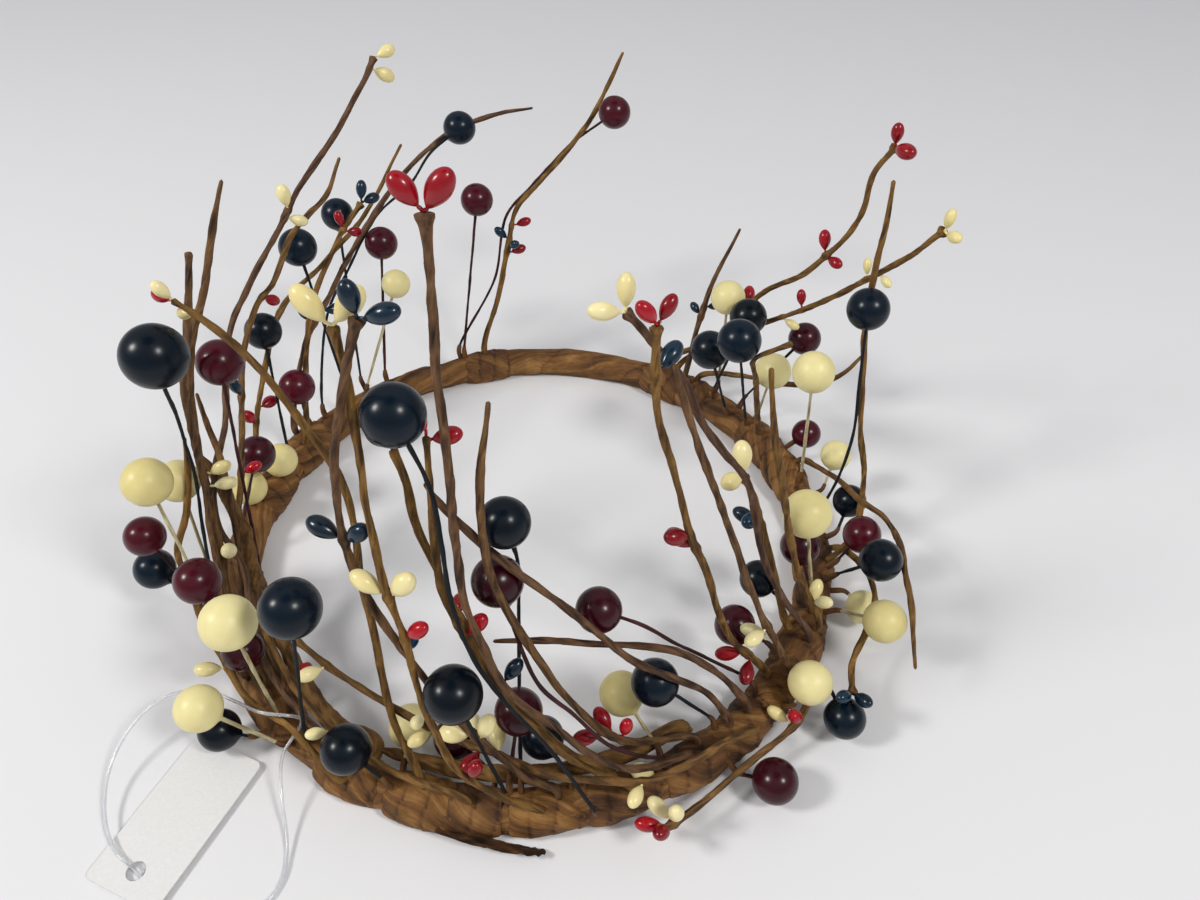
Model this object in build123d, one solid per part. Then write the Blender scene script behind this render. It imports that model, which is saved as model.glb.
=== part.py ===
from build123d import *
import os
from math import cos, pi, radians, sin, tan

import numpy as np

# Candle ring: a wire hoop wrapped in brown paper tape, with tape-wrapped twigs, lacquered
# berries on thin wires, and small pips. Millimetres, +Z up. The origin is the middle of the
# hoop on the table. Angles run counterclockwise from +X, and -Y is the front.

# Hoop and its tape wrap
hoop_radius = 76.0          # middle of the wrapped rope, 6 in across
core_wire = 2.6             # steel hoop wire
wrap_thickness = 8.2        # wrapped rope, across
wrap_turns = 44             # lapped turns of tape
wrap_lap = 0.28             # step at each tape edge
wrap_slant = 16             # degrees that each tape edge leans
foot_flat = 0.5             # how deep the underside is pressed flat
fit_gap = 0.05              # clearance of pieces that seat in or on each other

# Tape ties that bind the twigs to the hoop
tie_thickness = 1.3         # tape over the wrap
tie_length = 9.0            # along the hoop
tie_edge = 0.5              # rounding of the tie's shoulders
tie_gap = 0.12              # between a tie and the lapped wrap
socket_gap = 0.15           # clearance of a twig in its tie

# Twigs: wire wound in paper tape
twig_thickness = 1.6
twig_rise = 0.4             # how far a twig stands clear of its tie before it bends
spray_height = 100.0        # heights above the table are shares of this

# Berries and their wires
berry_size = 10.5
berry_wire = 0.8
wire_stub = 3.6
wire_bend = 2.2             # bend radius of a berry wire
wire_bend_share = 0.8       # share of the shorter run that a bend may take
bore_depth = 3.0
bore_gap = 0.06             # clearance of a wire in its berry

# Pips
pip_length = 6.0
pip_width = 3.9
pip_gap = 0.12              # between a pip's point and its twig

# Room that twigs, berries, pips and wires keep from each other
twig_room = 0.25
berry_room = 0.3
pip_room = 0.15
wire_room = 0.12
wire_ease = 0.3             # room that a wire led along a twig tries to keep
bead_spacing = 1.0          # between the beads that stand in for a rod in these tests
spread_rounds = 24          # rounds in which crossing twigs are bent apart
spread_share = 0.6          # share of an overlap that one twig gives way in a round
settle_rounds = 60          # rounds in which berries are moved off each other
pip_swings = (0, 20, -20, 40, -40, 60, -60, 85, -85, 110, -110, 140, -140, 170)
pip_body_shares = ((.1, .15), (.28, .31), (.45, .42), (.62, .48), (.7, .47))
seat_steps = (0, 2, -2, 4, -4, 6, -6, 8, -8, 10, -10, 13, -13, 16, -16)
seat_rolls = (0, 14, -14, 28, -28, 42, -42)
least_bend = 8              # degrees under which a wire runs straight
sharpest_bend = 100         # degrees that a wire may turn
most_tilt = 55              # degrees that a straight wire may lean from the wrap

# Hang tag, its loop and the catch that closes the loop
tag_length = 34.0
tag_width = 18.0
tag_thickness = 0.4
tag_lift = 0.85             # the card lies on its loop
tag_hole = 4.0
tag_hole_inset = 5.0
tag_corner = 1.5
loop_thickness = 0.7
run_share = 0.45            # share of its shorter run that each arc of the loop takes
catch_thickness = 2.2
catch_gap = 0.2             # between the catch and each end of the loop

cut_extra = 1.0             # overrun of every cut

wrap_radius = wrap_thickness / 2
hoop_height = wrap_radius - foot_flat

# Swell of the wrapped rope round the hoop: angle and share of its radius
swell_shares = [
    (0, 1.0), (25, 1.08), (60, 1.04), (100, 1.0), (150, 1.1), (185, 1.04), (215, 1.0),
    (240, 0.96), (270, 1.0), (300, 0.96), (330, 1.08), (360, 1.0),
]

# Thickness along a twig, as shares from its root to its tip: a bare tip thins out, a club
# carries pips, a broad club carries big ones, and a strand is a bundle bound to the hoop.
girth_shares = {
    "bare": (1.3, 1.1, 1.0, 0.65),
    "club": (1.3, 1.1, 1.0, 1.25),
    "broad": (1.3, 1.0, 1.0, 1.8),
    "strand": (2.4, 2.6, 2.4, 1.5),
}

# Ties round the hoop, in degrees
tie_angles = {
    "left": (205, 222, 243),
    "front": (256, 263, 276, 288, 301, 311),
    "right": (323, 333, 354, 17),
    "back": (28, 51, 58, 104, 154, 168),
}

# Twigs of each spray. A row has the root's angle and its roll from the hoop's top (plus leans
# out), the bends (angle, distance share, height share), the kind of tip, and the pips:
# (colour, share of the way, turn from outward, lean from the twig, size share).
twig_shares = {
    "left_spray": [
        (223, 8, [(215, 1.0, .13), (206.5, .98, .20), (197.5, .97, .32), (195.6, .95, .46),
                  (196.8, .92, .62), (197.6, .89, .74), (199.3, .84, .85), (199, .79, .96),
                  (199.6, .76, 1.04)], "club", []),
        (220.5, -12, [(213, .965, .14), (205, .955, .185), (198.5, .95, .27), (193, .96, .40),
                      (192, .94, .54), (192.2, .91, .66), (192, .84, .82), (191.1, .78, .91),
                      (188.1, .72, 1.02), (183.8, .68, 1.10)], "bare",
         [("cream", .44, 180, 60, .9), ("cream", .41, 180, 80, .9)]),
        (241.5, -8, [(232, .98, .125), (222, .97, .14), (212, .955, .18), (203.6, .94, .23),
                     (193.7, .96, .30), (186.8, .95, .38), (178.8, .93, .46), (172, .95, .52),
                     (162.9, .99, .58), (153.6, 1.02, .63), (147.4, 1.02, .68), (137, 1.07, .76),
                     (127.8, 1.09, .86), (120.4, 1.11, .96), (116.7, 1.14, 1.02)], "club",
         [("cream", 1, 270, 35, .9), ("cream", .985, 270, 80, 1), ("cream", .77, 90, 55, 1),
          ("cream", .76, 270, 60, .9), ("cream", .30, 0, 60, 1)]),
        (206, -25, [(200, .94, .15), (195, .94, .22), (185, .92, .31), (177.6, .92, .38),
                    (170.7, .94, .44), (163.4, .97, .51), (155.5, .99, .58), (149.4, 1.0, .60),
                    (141.6, 1.05, .66), (136.8, 1.06, .69), (130.9, 1.09, .72),
                    (126.8, 1.10, .80)], "bare",
         [("red", .66, 270, 60, .9), ("navy", .45, 90, 60, .9), ("red", .30, 180, 60, .8)]),
        (243, 35, [(233, 1.03, .145), (224, 1.06, .15), (216, 1.06, .17), (209.5, 1.07, .21),
                   (204.2, 1.07, .26), (200.1, 1.08, .31), (197, 1.03, .38), (194.5, 1.0, .46),
                   (191, .98, .54)], "bare",
         [("cream", .42, 0, 60, 1)]),
        (223.9, -31, [(216, .94, .12), (207, .93, .165), (200, .925, .22), (194, .93, .30),
                      (188, .945, .40), (184, .96, .50), (183, .955, .58)], "bare",
         [("cream", .30, 180, 60, .8)]),
        (244.5, -58, [(236, .925, .075), (228, .915, .09), (220, .91, .11), (210.3, .91, .15),
                      (201.5, .92, .20), (193, .935, .28), (188.5, .96, .37), (187, .965, .44)],
         "strand", []),
    ],
    "front_left_spray": [
        (256, -10, [(250, .90, .20), (241, .76, .44), (234, .67, .66), (227, .68, .80),
                    (220, .72, .92), (215, .77, .99), (211, .82, 1.03)], "bare",
         [("cream", 1, 90, 40, .7), ("cream", .97, 270, 60, .7), ("red", 1, 270, 40, .75)]),
        (275, 22, [(269.5, 1.03, .16), (264, 1.02, .24), (260.3, .99, .38), (258.6, .96, .48),
                   (257.4, .93, .57), (255.4, .90, .67), (254.2, .87, .76), (253.1, .84, .85),
                   (252.1, .81, .96), (251.5, .785, 1.05), (251.5, .78, 1.15)], "broad",
         [("cream", 1, 270, 36, 1.1), ("cream", 1, 90, 36, 1.1), ("cream", .58, 270, 50, 1.1),
          ("cream", .58, 90, 50, 1.1), ("red", .50, 90, 60, .9), ("red", .18, 90, 60, .9)]),
        (277.5, -8, [(273, .975, .16), (268, .96, .25), (262.5, .93, .33), (258, .91, .43),
                     (254, .89, .52), (249.8, .87, .62), (247.6, .85, .75), (249, .82, .91),
                     (252.6, .80, 1.06), (256.5, .79, 1.18)], "club",
         [("navy", 1, 90, 50, 1), ("navy", 1, 270, 30, .9), ("navy", .63, 270, 65, 1.1),
          ("navy", .63, 90, 55, 1), ("cream", .22, 270, 60, 1.1), ("cream", .21, 90, 60, 1.1),
          ("navy", .42, 90, 60, .8)]),
    ],
    "front_spray": [
        (300, 5, [(293, 1.02, .15), (287.3, 1.03, .21), (282.7, 1.0, .26), (278.2, .96, .32),
                  (274.1, .95, .40), (270.8, .93, .46), (268.5, .91, .56), (266.7, .88, .64),
                  (265.6, .84, .77), (266, .81, .92), (265.9, .78, 1.07), (266.3, .76, 1.22),
                  (266.3, .74, 1.33)], "club",
         [("red", 1, 270, 36, .9), ("red", 1, 90, 36, 1.05)]),
        (289, 14, [(283.5, .99, .16), (278, .975, .26), (273.4, .94, .36), (268.9, .895, .46),
                   (264.8, .86, .55), (262, .83, .64), (261.3, .80, .74), (261.4, .78, .83),
                   (261.4, .74, .94)], "bare",
         [("red", 1, 270, 60, .9), ("red", .99, 90, 70, .9), ("red", .58, 90, 60, .9),
          ("navy", .45, 90, 60, .9)]),
        (287, -22, [(281, .94, .17), (275.8, .92, .27), (270.8, .885, .39), (267.2, .855, .48),
                    (263.7, .83, .57), (260.6, .79, .64), (257.1, .76, .74), (256.2, .74, .82),
                    (253.9, .72, .88)], "club",
         [("navy", 1, 0, 30, 1), ("red", .62, 90, 60, .8)]),
        (302.5, -18, [(296, .95, .14), (291, .96, .19), (286, .95, .25), (281, .91, .34),
                      (277, .88, .45), (273, .85, .56), (269.8, .82, .67), (269.5, .80, .78),
                      (270.3, .78, .90), (272.2, .76, 1.03)], "bare",
         [("red", .24, 180, 60, .9), ("red", .26, 270, 60, .9), ("red", .22, 90, 60, .8)]),
    ],
    "low_spray": [
        (309, -4, [(305.3, .95, .22), (298.6, .90, .31), (292.1, .86, .39), (286.8, .82, .47),
                   (278.1, .78, .58), (269, .755, .68), (262.3, .745, .77), (259.6, .745, .83)],
         "bare", []),
        (311, -64, [(302, .92, .075), (294, .92, .07), (285, .92, .07), (277, .92, .07),
                    (269, .92, .07), (261.6, .92, .07), (254, .92, .07), (247.5, .92, .075)],
         "strand", []),
        (313.1, 0, [(310, .95, .21), (304.1, .88, .31), (295.7, .82, .36), (287.6, .79, .385),
                    (278.2, .79, .42), (268.7, .82, .46)], "bare", []),
        (263.5, 4, [(257, .99, .12), (250, .985, .12), (243, .975, .125), (236, .96, .135),
                    (229, .95, .16), (222, .935, .20), (217, .92, .26)], "club",
         [("cream", .55, 0, 60, .8), ("red", .75, 180, 60, .8)]),
        (311.5, 36, [(305, 1.05, .14), (299, 1.05, .14), (291, 1.05, .15), (285, 1.02, .16),
                     (277, .99, .17), (269, .93, .17), (258, .89, .18), (250, .88, .21),
                     (239, .89, .28), (231, .91, .34)], "club",
         [("cream", .62, 180, 60, 1.1), ("cream", .57, 180, 60, 1.1), ("red", .60, 0, 75, .9),
          ("cream", .70, 0, 60, .9), ("cream", .73, 0, 80, .9), ("cream", .27, 180, 60, 1.1),
          ("cream", .30, 0, 60, .9), ("cream", .93, 0, 60, .9), ("cream", 1, 200, 50, .8)]),
    ],
    "right_front_spray": [
        (321, -20, [(314, .89, .28), (310, .83, .48), (307, .78, .63), (305, .74, .76),
                    (302, .71, .91), (303, .68, 1.06)], "club",
         [("red", 1, 270, 36, .9), ("red", 1, 90, 36, .8), ("navy", .92, 90, 60, 1),
          ("red", .55, 270, 50, 1), ("red", .51, 200, 60, 1), ("red", .14, 180, 70, 1),
          ("red", .12, 300, 80, 1)]),
        (323, 20, [(318, .93, .35), (314, .88, .53), (312, .83, .65), (310, .79, .75),
                   (307, .75, .88), (305, .72, .99)], "bare",
         [("cream", .24, 270, 65, 1), ("cream", .20, 200, 65, 1)]),
    ],
    "right_spray": [
        (331.5, 15, [(326, .94, .30), (322, .87, .47), (321, .80, .66), (317, .76, .74),
                     (314, .72, .81), (311, .66, .91), (305, .61, 1.0), (301, .59, 1.05)], "club",
         [("cream", 1, 90, 40, 1), ("cream", 1, 270, 40, 1)]),
        (333, -35, [(331, .86, .34), (330, .80, .48), (328, .75, .58)], "club",
         [("cream", 1, 270, 55, 1.1), ("cream", 1, 90, 30, 1.2), ("navy", .78, 270, 60, 1),
          ("navy", .72, 180, 60, 1)]),
        (334.5, 25, [(329, .96, .35), (324, .91, .58), (320, .87, .79), (318, .84, .97)], "bare",
         [("cream", .18, 0, 60, .9), ("cream", .15, 90, 70, .9)]),
    ],
    "far_right_spray": [
        (352, 38, [(356, 1.13, .12), (0, 1.15, .17), (2.4, 1.15, .24), (4.1, 1.12, .34),
                   (8.7, 1.12, .48), (11.8, 1.12, .60), (13.5, 1.12, .74), (14.6, 1.13, .86),
                   (15.7, 1.14, .96)], "bare", []),
        (356, 72, [(347, 1.16, .12), (340, 1.18, .15), (336, 1.18, .14), (330, 1.17, .12),
                   (325, 1.21, .12)], "club",
         [("navy", 1, 0, 40, .9), ("navy", 1, 180, 40, .9)]),
        (17, 30, [(8, 1.08, .16), (0, 1.12, .20), (353, 1.18, .24), (346, 1.22, .26),
                  (340, 1.25, .26), (336, 1.28, .24), (331, 1.34, .16)], "bare", []),
    ],
    "back_right_spray": [
        (59.5, 15, [(48, 1.07, .25), (40, 1.12, .45), (32, 1.15, .58), (27, 1.18, .70),
                    (25, 1.20, .79), (24, 1.19, .90), (20, 1.18, 1.0)], "club",
         [("red", 1, 90, 36, .8), ("red", 1, 270, 45, 1.1), ("red", .66, 90, 55, .9),
          ("red", .66, 270, 60, .8), ("red", .34, 270, 60, 1), ("red", .36, 90, 60, 1)]),
        (56.5, 40, [(46, 1.10, .26), (32, 1.16, .45), (22, 1.20, .62), (16, 1.24, .74),
                    (10, 1.27, .87)], "club",
         [("cream", 1, 90, 40, .8), ("cream", 1, 270, 40, .8), ("cream", .74, 90, 60, .7),
          ("cream", .78, 270, 60, .7), ("red", .5, 90, 60, .8), ("cream", .43, 290, 60, .8)]),
        (50, 15, [(39, 1.02, .20), (29, 1.08, .24), (20, 1.16, .34), (16, 1.2, .47)], "bare", []),
        (52, -20, [(50, 1.0, .35), (50, 1.05, .43), (48, 1.15, .60)], "bare",
         [("navy", .5, 90, 60, .7), ("navy", .55, 270, 60, .7)]),
        (28, -15, [(24, .88, .36), (18, .80, .50), (10, .86, .60)], "club", []),
    ],
    "back_spray": [
        (104, 10, [(98, 1.05, .34), (94.5, 1.12, .53), (89.4, 1.20, .60), (86, 1.29, .64),
                   (82.7, 1.35, .70), (80.3, 1.41, .76), (78.3, 1.43, .84),
                   (76.2, 1.43, .93)], "bare",
         [("navy", .38, 90, 60, .8), ("navy", .36, 200, 60, .8), ("red", .42, 270, 60, .8),
          ("red", .34, 270, 60, .8)]),
    ],
    "back_left_spray": [
        (168.5, 15, [(161, 1.05, .25), (146, 1.10, .45), (132, 1.18, .49), (123, 1.25, .54),
                     (113, 1.31, .72)], "bare",
         [("red", .16, 90, 60, 1), ("red", .20, 270, 60, 1), ("navy", .5, 270, 60, 1)]),
        (153.5, 25, [(145, 1.02, .36), (137.8, 1.02, .45), (130.5, 1.09, .50), (120, 1.18, .60),
                     (112.3, 1.28, .66), (105, 1.34, .72), (98, 1.37, .75),
                     (90.4, 1.34, .78)], "bare",
         [("navy", .3, 270, 60, 1), ("navy", .27, 90, 60, .9)]),
        (155, -20, [(142, 1.03, .44), (131, 1.10, .57), (124, 1.14, .64)], "club",
         [("navy", 1, 270, 36, .9), ("navy", 1, 90, 36, .9), ("red", .88, 90, 60, .8),
          ("red", .88, 270, 60, .8)]),
    ],
    "side_twigs": [
        (325, 75, [(319, 1.12, .08), (312, 1.11, .07), (305, 1.11, .07), (297, 1.13, .07),
                     (292, 1.15, .08)], "club",
         [("red", 1, 180, 40, 1), ("red", 1, 90, 40, 1), ("cream", .95, 90, 70, 1),
          ("cream", .97, 180, 80, 1), ("cream", .3, 180, 70, .9), ("red", .26, 90, 60, .9)]),
    ],
}

pip_regions = {
    "left": ("left_spray", "front_left_spray"),
    "front": ("front_spray", "low_spray", "side_twigs"),
    "right": ("right_front_spray", "right_spray", "far_right_spray"),
    "back": ("back_right_spray", "back_spray", "back_left_spray"),
}

# Berries: colour, angle, distance share, height share, size share, then where the wire is
# rooted in the wrap, as an angle and a roll from the hoop's top. A wire that is led along a
# twig also has the points that it passes: angle, distance share, height share.
berry_shares = {
    "left": [
        ("navy", 213, .90, .95, 1.1, 216, 20,
         [(210, 1.02, .17), (203, 1.0, .25), (197, .985, .36), (196, .965, .47),
          (198, .945, .60), (201, .925, .71), (205, .915, .81)]), ("navy", 193, 1.22, .16, .95, 199, 60),
        ("navy", 222, 1.16, .07, .9, 226, 75), ("cream", 200, 1.07, .54, 1, 209, 20),
        ("cream", 192, 1.04, .42, .95, 199, 20), ("cream", 230, 1.04, .50, 1.03, 228, 10),
        ("cream", 224, 1.18, .22, .95, 232, 40), ("burgundy", 195, 1.18, .31, .9, 201, 40),
        ("burgundy", 190, .84, .72, .95, 196, -15), ("burgundy", 212, 1.03, .38, .95, 211, 5),
        ("burgundy", 217, 1.04, .17, .9, 215, 20),
    ],
    "front": [
        ("navy", 257, .78, 1.0, .98, 283, 40,
         [(277, 1.0, .30), (271.5, .955, .42), (267, .92, .53), (264.3, .875, .64),
          (263.4, .835, .75), (262.6, .81, .87)]), ("navy", 241, .97, .60, 1.08, 238, 5),
        ("navy", 263, .97, .46, 1.05, 270, 15), ("navy", 245, .99, .145, 1, 251, 10),
        ("navy", 271, .74, .72, .9, 272, -25,
         [(272, .80, .22), (272.5, .715, .42), (272.5, .70, .56)]), ("navy", 276, .85, .11, .9, 280, -60),
        ("cream", 249, .86, .08, .95, 252, -50), ("cream", 294, .77, .13, .97, 298, -60),
        ("burgundy", 272, .82, .60, .95, 296, 0,
         [(290.5, .995, .185), (286, .985, .25), (281, .95, .35), (277, .915, .45)]), ("burgundy", 289, .76, .45, .9, 317, -20,
         [(308, .90, .27), (302, .85, .34), (297, .80, .40)]),
        ("burgundy", 274, .89, .27, .95, 272, -30), ("burgundy", 258, .86, .07, .9, 261, -60),
        ("burgundy", 309, 1.13, .06, .95, 306, 60), ("navy", 302, .88, .30, .98, 307, -25),
    ],
    "right": [
        ("navy", 342, 1.20, .27, .95, 347, 35), ("navy", 9.6, 1.085, .69, .95, 2, 15,
         [(1.5, 1.06, .26), (3, 1.08, .38), (6.5, 1.085, .52)]),
        ("navy", 323, 1.22, .08, .9, 326, 55), ("navy", 3, 1.12, .15, .85, 358, 50),
        ("navy", 333, .84, .22, .85, 336, -50), ("cream", 332, .93, .50, 1, 338, 0),
        ("cream", 322, 1.08, .14, .95, 319, 40), ("cream", 335, 1.22, .20, .95, 340, 50),
        ("cream", 343, 1.16, .07, .8, 346, 70), ("cream", 12, 1.13, .17, .8, 9, 50),
        ("cream", 7, .93, .54, .98, 12, 5), ("burgundy", 351, 1.12, .20, .9, 350, 35),
        ("burgundy", 341, .92, .27, .9, 343, -15), ("burgundy", 22, 1.12, .12, .8, 23, 50),
        ("burgundy", 321, .84, .20, .9, 325, -45),
    ],
    "back": [
        ("navy", 20, .75, .55, 1.05, 32, -20), ("navy", 34, .77, .42, 1, 38, -30),
        ("navy", 40, 1.02, .42, 1, 44, 5), ("navy", 103.1, 1.275, .755, .9, 146, 10,
         [(139, 1.05, .40), (131.5, 1.06, .48), (121.5, 1.15, .58), (113.5, 1.25, .64),
          (108.5, 1.28, .69)]),
        ("navy", 126, 1.32, .55, .9, 134, 30), ("navy", 138, 1.14, .58, 1, 143, 10),
        ("navy", 152, 1.07, .44, .95, 158, 5), ("cream", 26, .97, .35, .95, 32, 15), ("cream", 122.5, 1.0, .42, .8, 135, -10),
        ("cream", 46, 1.05, .42, .95, 47, 20), ("cream", 165, .96, .14, .9, 165, -20),
        ("cream", 174, 1.0, .14, .9, 174, 0), ("burgundy", 33, 1.23, .32, .9, 38, 30),
        ("burgundy", 123, 1.08, .53, .9, 129, 5), ("burgundy", 102, 1.06, .61, .9, 107, 5),
        ("burgundy", 76.8, 1.34, .78, .9, 110, 15,
         [(100, 1.07, .33), (96.3, 1.13, .52), (91, 1.21, .585), (87, 1.29, .63),
          (84, 1.34, .68), (80.5, 1.36, .73)]), ("burgundy", 152, .97, .28, .95, 150, -10),
        ("burgundy", 172, .95, .25, .95, 176, -5),
    ],
}

# Hang tag: where its hole lies on the table, and the way it points from there
tag_angle = 229
tag_reach_share = 1.52
tag_heading = 67

# Loop of the hang tag, from one side of its catch to the other: under the card, up through
# its hole, over and under the outer left twig, and back along the table.
loop_route = [
    (-60.0, -96.4, 1.1), (-64.4, -95.3, .55), (-69.4, -92.6, .4), (-74.6, -88.1, .4),
    (-76.9, -86.4, 1.9), (-81.6, -83.4, 2.2), (-86.6, -75.8, 2.4), (-88.4, -66.0, 4.6),
    (-84.6, -57.4, 8.6), (-77.0, -52.4, 12.0), (-67.6, -53.4, 14.4), (-59.0, -57.8, 16.6),
    (-53.0, -61.2, 17.9), (-47.4, -61.2, 17.3), (-44.6, -60.2, 14.2), (-47.0, -62.6, 11.4),
    (-49.6, -66.4, 9.4), (-48.8, -73.4, 4.6), (-46.0, -81.6, 1.0), (-45.2, -89.6, .5),
    (-49.4, -95.2, .62), (-54.8, -97.0, 1.1),
]


def outward(angle):
    """Level unit vector away from the middle of the ring."""
    return Vector(cos(radians(angle)), sin(radians(angle)), 0)


def place(angle, reach_share, height_share):
    """Point at a share of the hoop's radius and of the spray's height."""
    return outward(angle) * hoop_radius * reach_share + Vector(0, 0, spray_height * height_share)


def swell(angle):
    """Local radius of the wrapped rope."""
    turned = angle % 360
    for (a, low), (b, high) in zip(swell_shares, swell_shares[1:]):
        if a <= turned <= b:
            blend = (1 - cos(pi * (turned - a) / (b - a))) / 2
            return wrap_radius * (low + (high - low) * blend)


def rope_middle(angle):
    """Middle of the wrapped rope, whose underside keeps one level."""
    return outward(angle) * hoop_radius + Vector(0, 0, swell(angle) - foot_flat)


def seat(angle, roll):
    """Point on the wrap and the way out of it, rolled from the hoop's top."""
    way = outward(angle) * sin(radians(roll)) + Vector(0, 0, cos(radians(roll)))
    return rope_middle(angle) + way * swell(angle), way


def tie_reach():
    """Half of a tie's length, in degrees."""
    return 180 * tie_length / (2 * pi * hoop_radius)


def clear_of_ties(angle):
    """Whether a wire's seat lies on bare wrap."""
    ties = [middle for angles in tie_angles.values() for middle in angles]
    beside = min(abs((angle - middle + 180) % 360 - 180) for middle in ties)
    return beside > tie_reach() + np.degrees(berry_wire / hoop_radius)


def ring_solid(radius):
    """Full ring of round section at the hoop's height."""
    return Pos(0, 0, hoop_height) * Torus(hoop_radius, radius)


def floor_cut():
    """Block below the table."""
    side = 4 * hoop_radius
    return Pos(0, 0, -wrap_thickness) * Box(side, side, 2 * wrap_thickness)


def core_hoop():
    return ring_solid(core_wire / 2)


def tape_edge(angle, radius):
    """Circle of one tape edge, leaning across the rope."""
    along = Vector(-sin(radians(angle)), cos(radians(angle)), 0)
    normal = along.rotate(Axis.Z, wrap_slant)
    return Wire.make_circle(radius, Plane(origin=rope_middle(angle), x_dir=(0, 0, 1), z_dir=normal))


def ring_wrap():
    """Lapped turns of tape, each a little cone whose wide end covers the next."""
    step = 360 / wrap_turns
    turns = []
    for i in range(wrap_turns):
        start, end = i * step, (i + 1) * step
        wide = tape_edge(start, swell(start))
        narrow = tape_edge(end, swell(end) - wrap_lap)
        turns.append(Solid.make_loft([wide, narrow], ruled=True))
    body = turns[0].fuse(*turns[1:])
    return body - ring_solid(core_wire / 2 + fit_gap) - floor_cut()


def tie(angle, roots):
    """Band of tape over the wrap, with a socket for each twig that comes out of it."""
    middle = swell(angle) - foot_flat
    outer = swell(angle) + tie_thickness
    section = Plane.XZ * Pos(hoop_radius, middle) * Circle(outer)
    band = revolve(section, Axis.Z, 2 * tie_reach())
    rims = [edge for edge in band.edges() if edge.geom_type == GeomType.CIRCLE
            and abs(edge.radius - outer) < fit_gap]
    band = fillet(rims, tie_edge)
    band = Rot(0, 0, angle - tie_reach()) * band
    band = band - Pos(0, 0, middle) * Torus(hoop_radius, swell(angle) + tie_gap) - floor_cut()
    for root_angle, roll, kind in roots:
        point, way = seat(root_angle, roll)
        socket = twig_thickness / 2 * girth_shares[kind][0] + socket_gap
        hole = Cylinder(socket, 2 * (tie_thickness + cut_extra))
        band = band - Plane(origin=point, z_dir=way) * hole
    return band


def way_at(points, i):
    """Way along a line of points, halved at each bend."""
    before = (points[i] - points[max(i - 1, 0)]).normalized() if i else Vector()
    after = (points[i + 1] - points[i]).normalized() if i + 1 < len(points) else Vector()
    return (before + after).normalized()


def twig_radii(kind, count):
    """Radius at each point of a twig."""
    shares = girth_shares[kind]
    places = [0, 0] + [1 + max(0, 3 + i - count) for i in range(2, count)]
    return [twig_thickness / 2 * shares[p] for p in places]


def beads(points, radii):
    """Balls in a row that stand in for a rod: rows of x, y, z and radius."""
    rows = []
    for a, b, r, s in zip(points, points[1:], radii, radii[1:]):
        count = max(1, int((b - a).length / bead_spacing))
        for t in np.arange(count) / count:
            rows.append((*(a + (b - a) * t), r + (s - r) * t))
    rows.append((*points[-1], radii[-1]))
    return np.array(rows)


def rope_gaps(balls):
    """Gap from each ball to the wrap and its ties, and the way out of the rope."""
    gaps, ways = [], []
    ties = [angle for angles in tie_angles.values() for angle in angles]
    for x, y, z, radius in balls:
        angle = np.degrees(np.arctan2(y, x)) % 360
        beside = min(abs((angle - middle + 180) % 360 - 180) for middle in ties)
        covered = beside < tie_reach() + np.degrees(radius / hoop_radius)
        offset = Vector(x, y, z) - rope_middle(angle)
        gaps.append(offset.length - radius - swell(angle) - (tie_thickness if covered else 0))
        ways.append(tuple(offset.normalized()))
    return np.array(gaps), np.array(ways)


def nearest(balls, others):
    """Gap from each ball to the nearest of the others, and the way from that one."""
    offsets = balls[:, None, :3] - others[None, :, :3]
    distances = np.sqrt((offsets ** 2).sum(axis=2))
    gaps = distances - balls[:, None, 3] - others[None, :, 3]
    rows, chosen = np.arange(len(balls)), gaps.argmin(axis=1)
    spans = np.maximum(distances[rows, chosen], fit_gap)
    return gaps[rows, chosen], offsets[rows, chosen] / spans[:, None]


def spread_twigs():
    """Lines and radii of all twigs, with crossing twigs bent apart."""
    rows = [(spray, row) for spray, table in twig_shares.items() for row in table]
    lines = []
    for spray, (root_angle, roll, bends, kind, _) in rows:
        point, way = seat(root_angle, roll)
        stub = tie_thickness + twig_rise + twig_thickness / 2 * girth_shares[kind][0]
        roots = [point + way * fit_gap, point + way * stub]
        lines.append(roots + [place(*bend) for bend in bends])
    radii = [twig_radii(row[3], len(line)) for (spray, row), line in zip(rows, lines)]
    for _ in range(spread_rounds):
        clouds = [beads(line, girth) for line, girth in zip(lines, radii)]
        moved = False
        for i, line in enumerate(lines):
            others = np.vstack(clouds[:i] + clouds[i + 1:])
            bends = [line[0], line[1]]
            for k in range(2, len(line)):
                near = beads(line[k - 1:k + 2], radii[i][k - 1:k + 2])
                near = near[len(near) // 4:]
                gaps, ways = nearest(near, others)
                rope, out = rope_gaps(near)
                worst, low = gaps.argmin(), rope.argmin()
                push = Vector()
                if gaps[worst] < twig_room:
                    push += Vector(*ways[worst]) * (twig_room - gaps[worst]) * spread_share
                if rope[low] < twig_room:
                    push += Vector(*out[low]) * (twig_room - rope[low])
                moved = moved or push.length > 0
                bends.append(line[k] + push)
            lines[i] = bends
        if not moved:
            break
    return [(spray, row, line, girth) for (spray, row), line, girth in zip(rows, lines, radii)]


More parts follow.
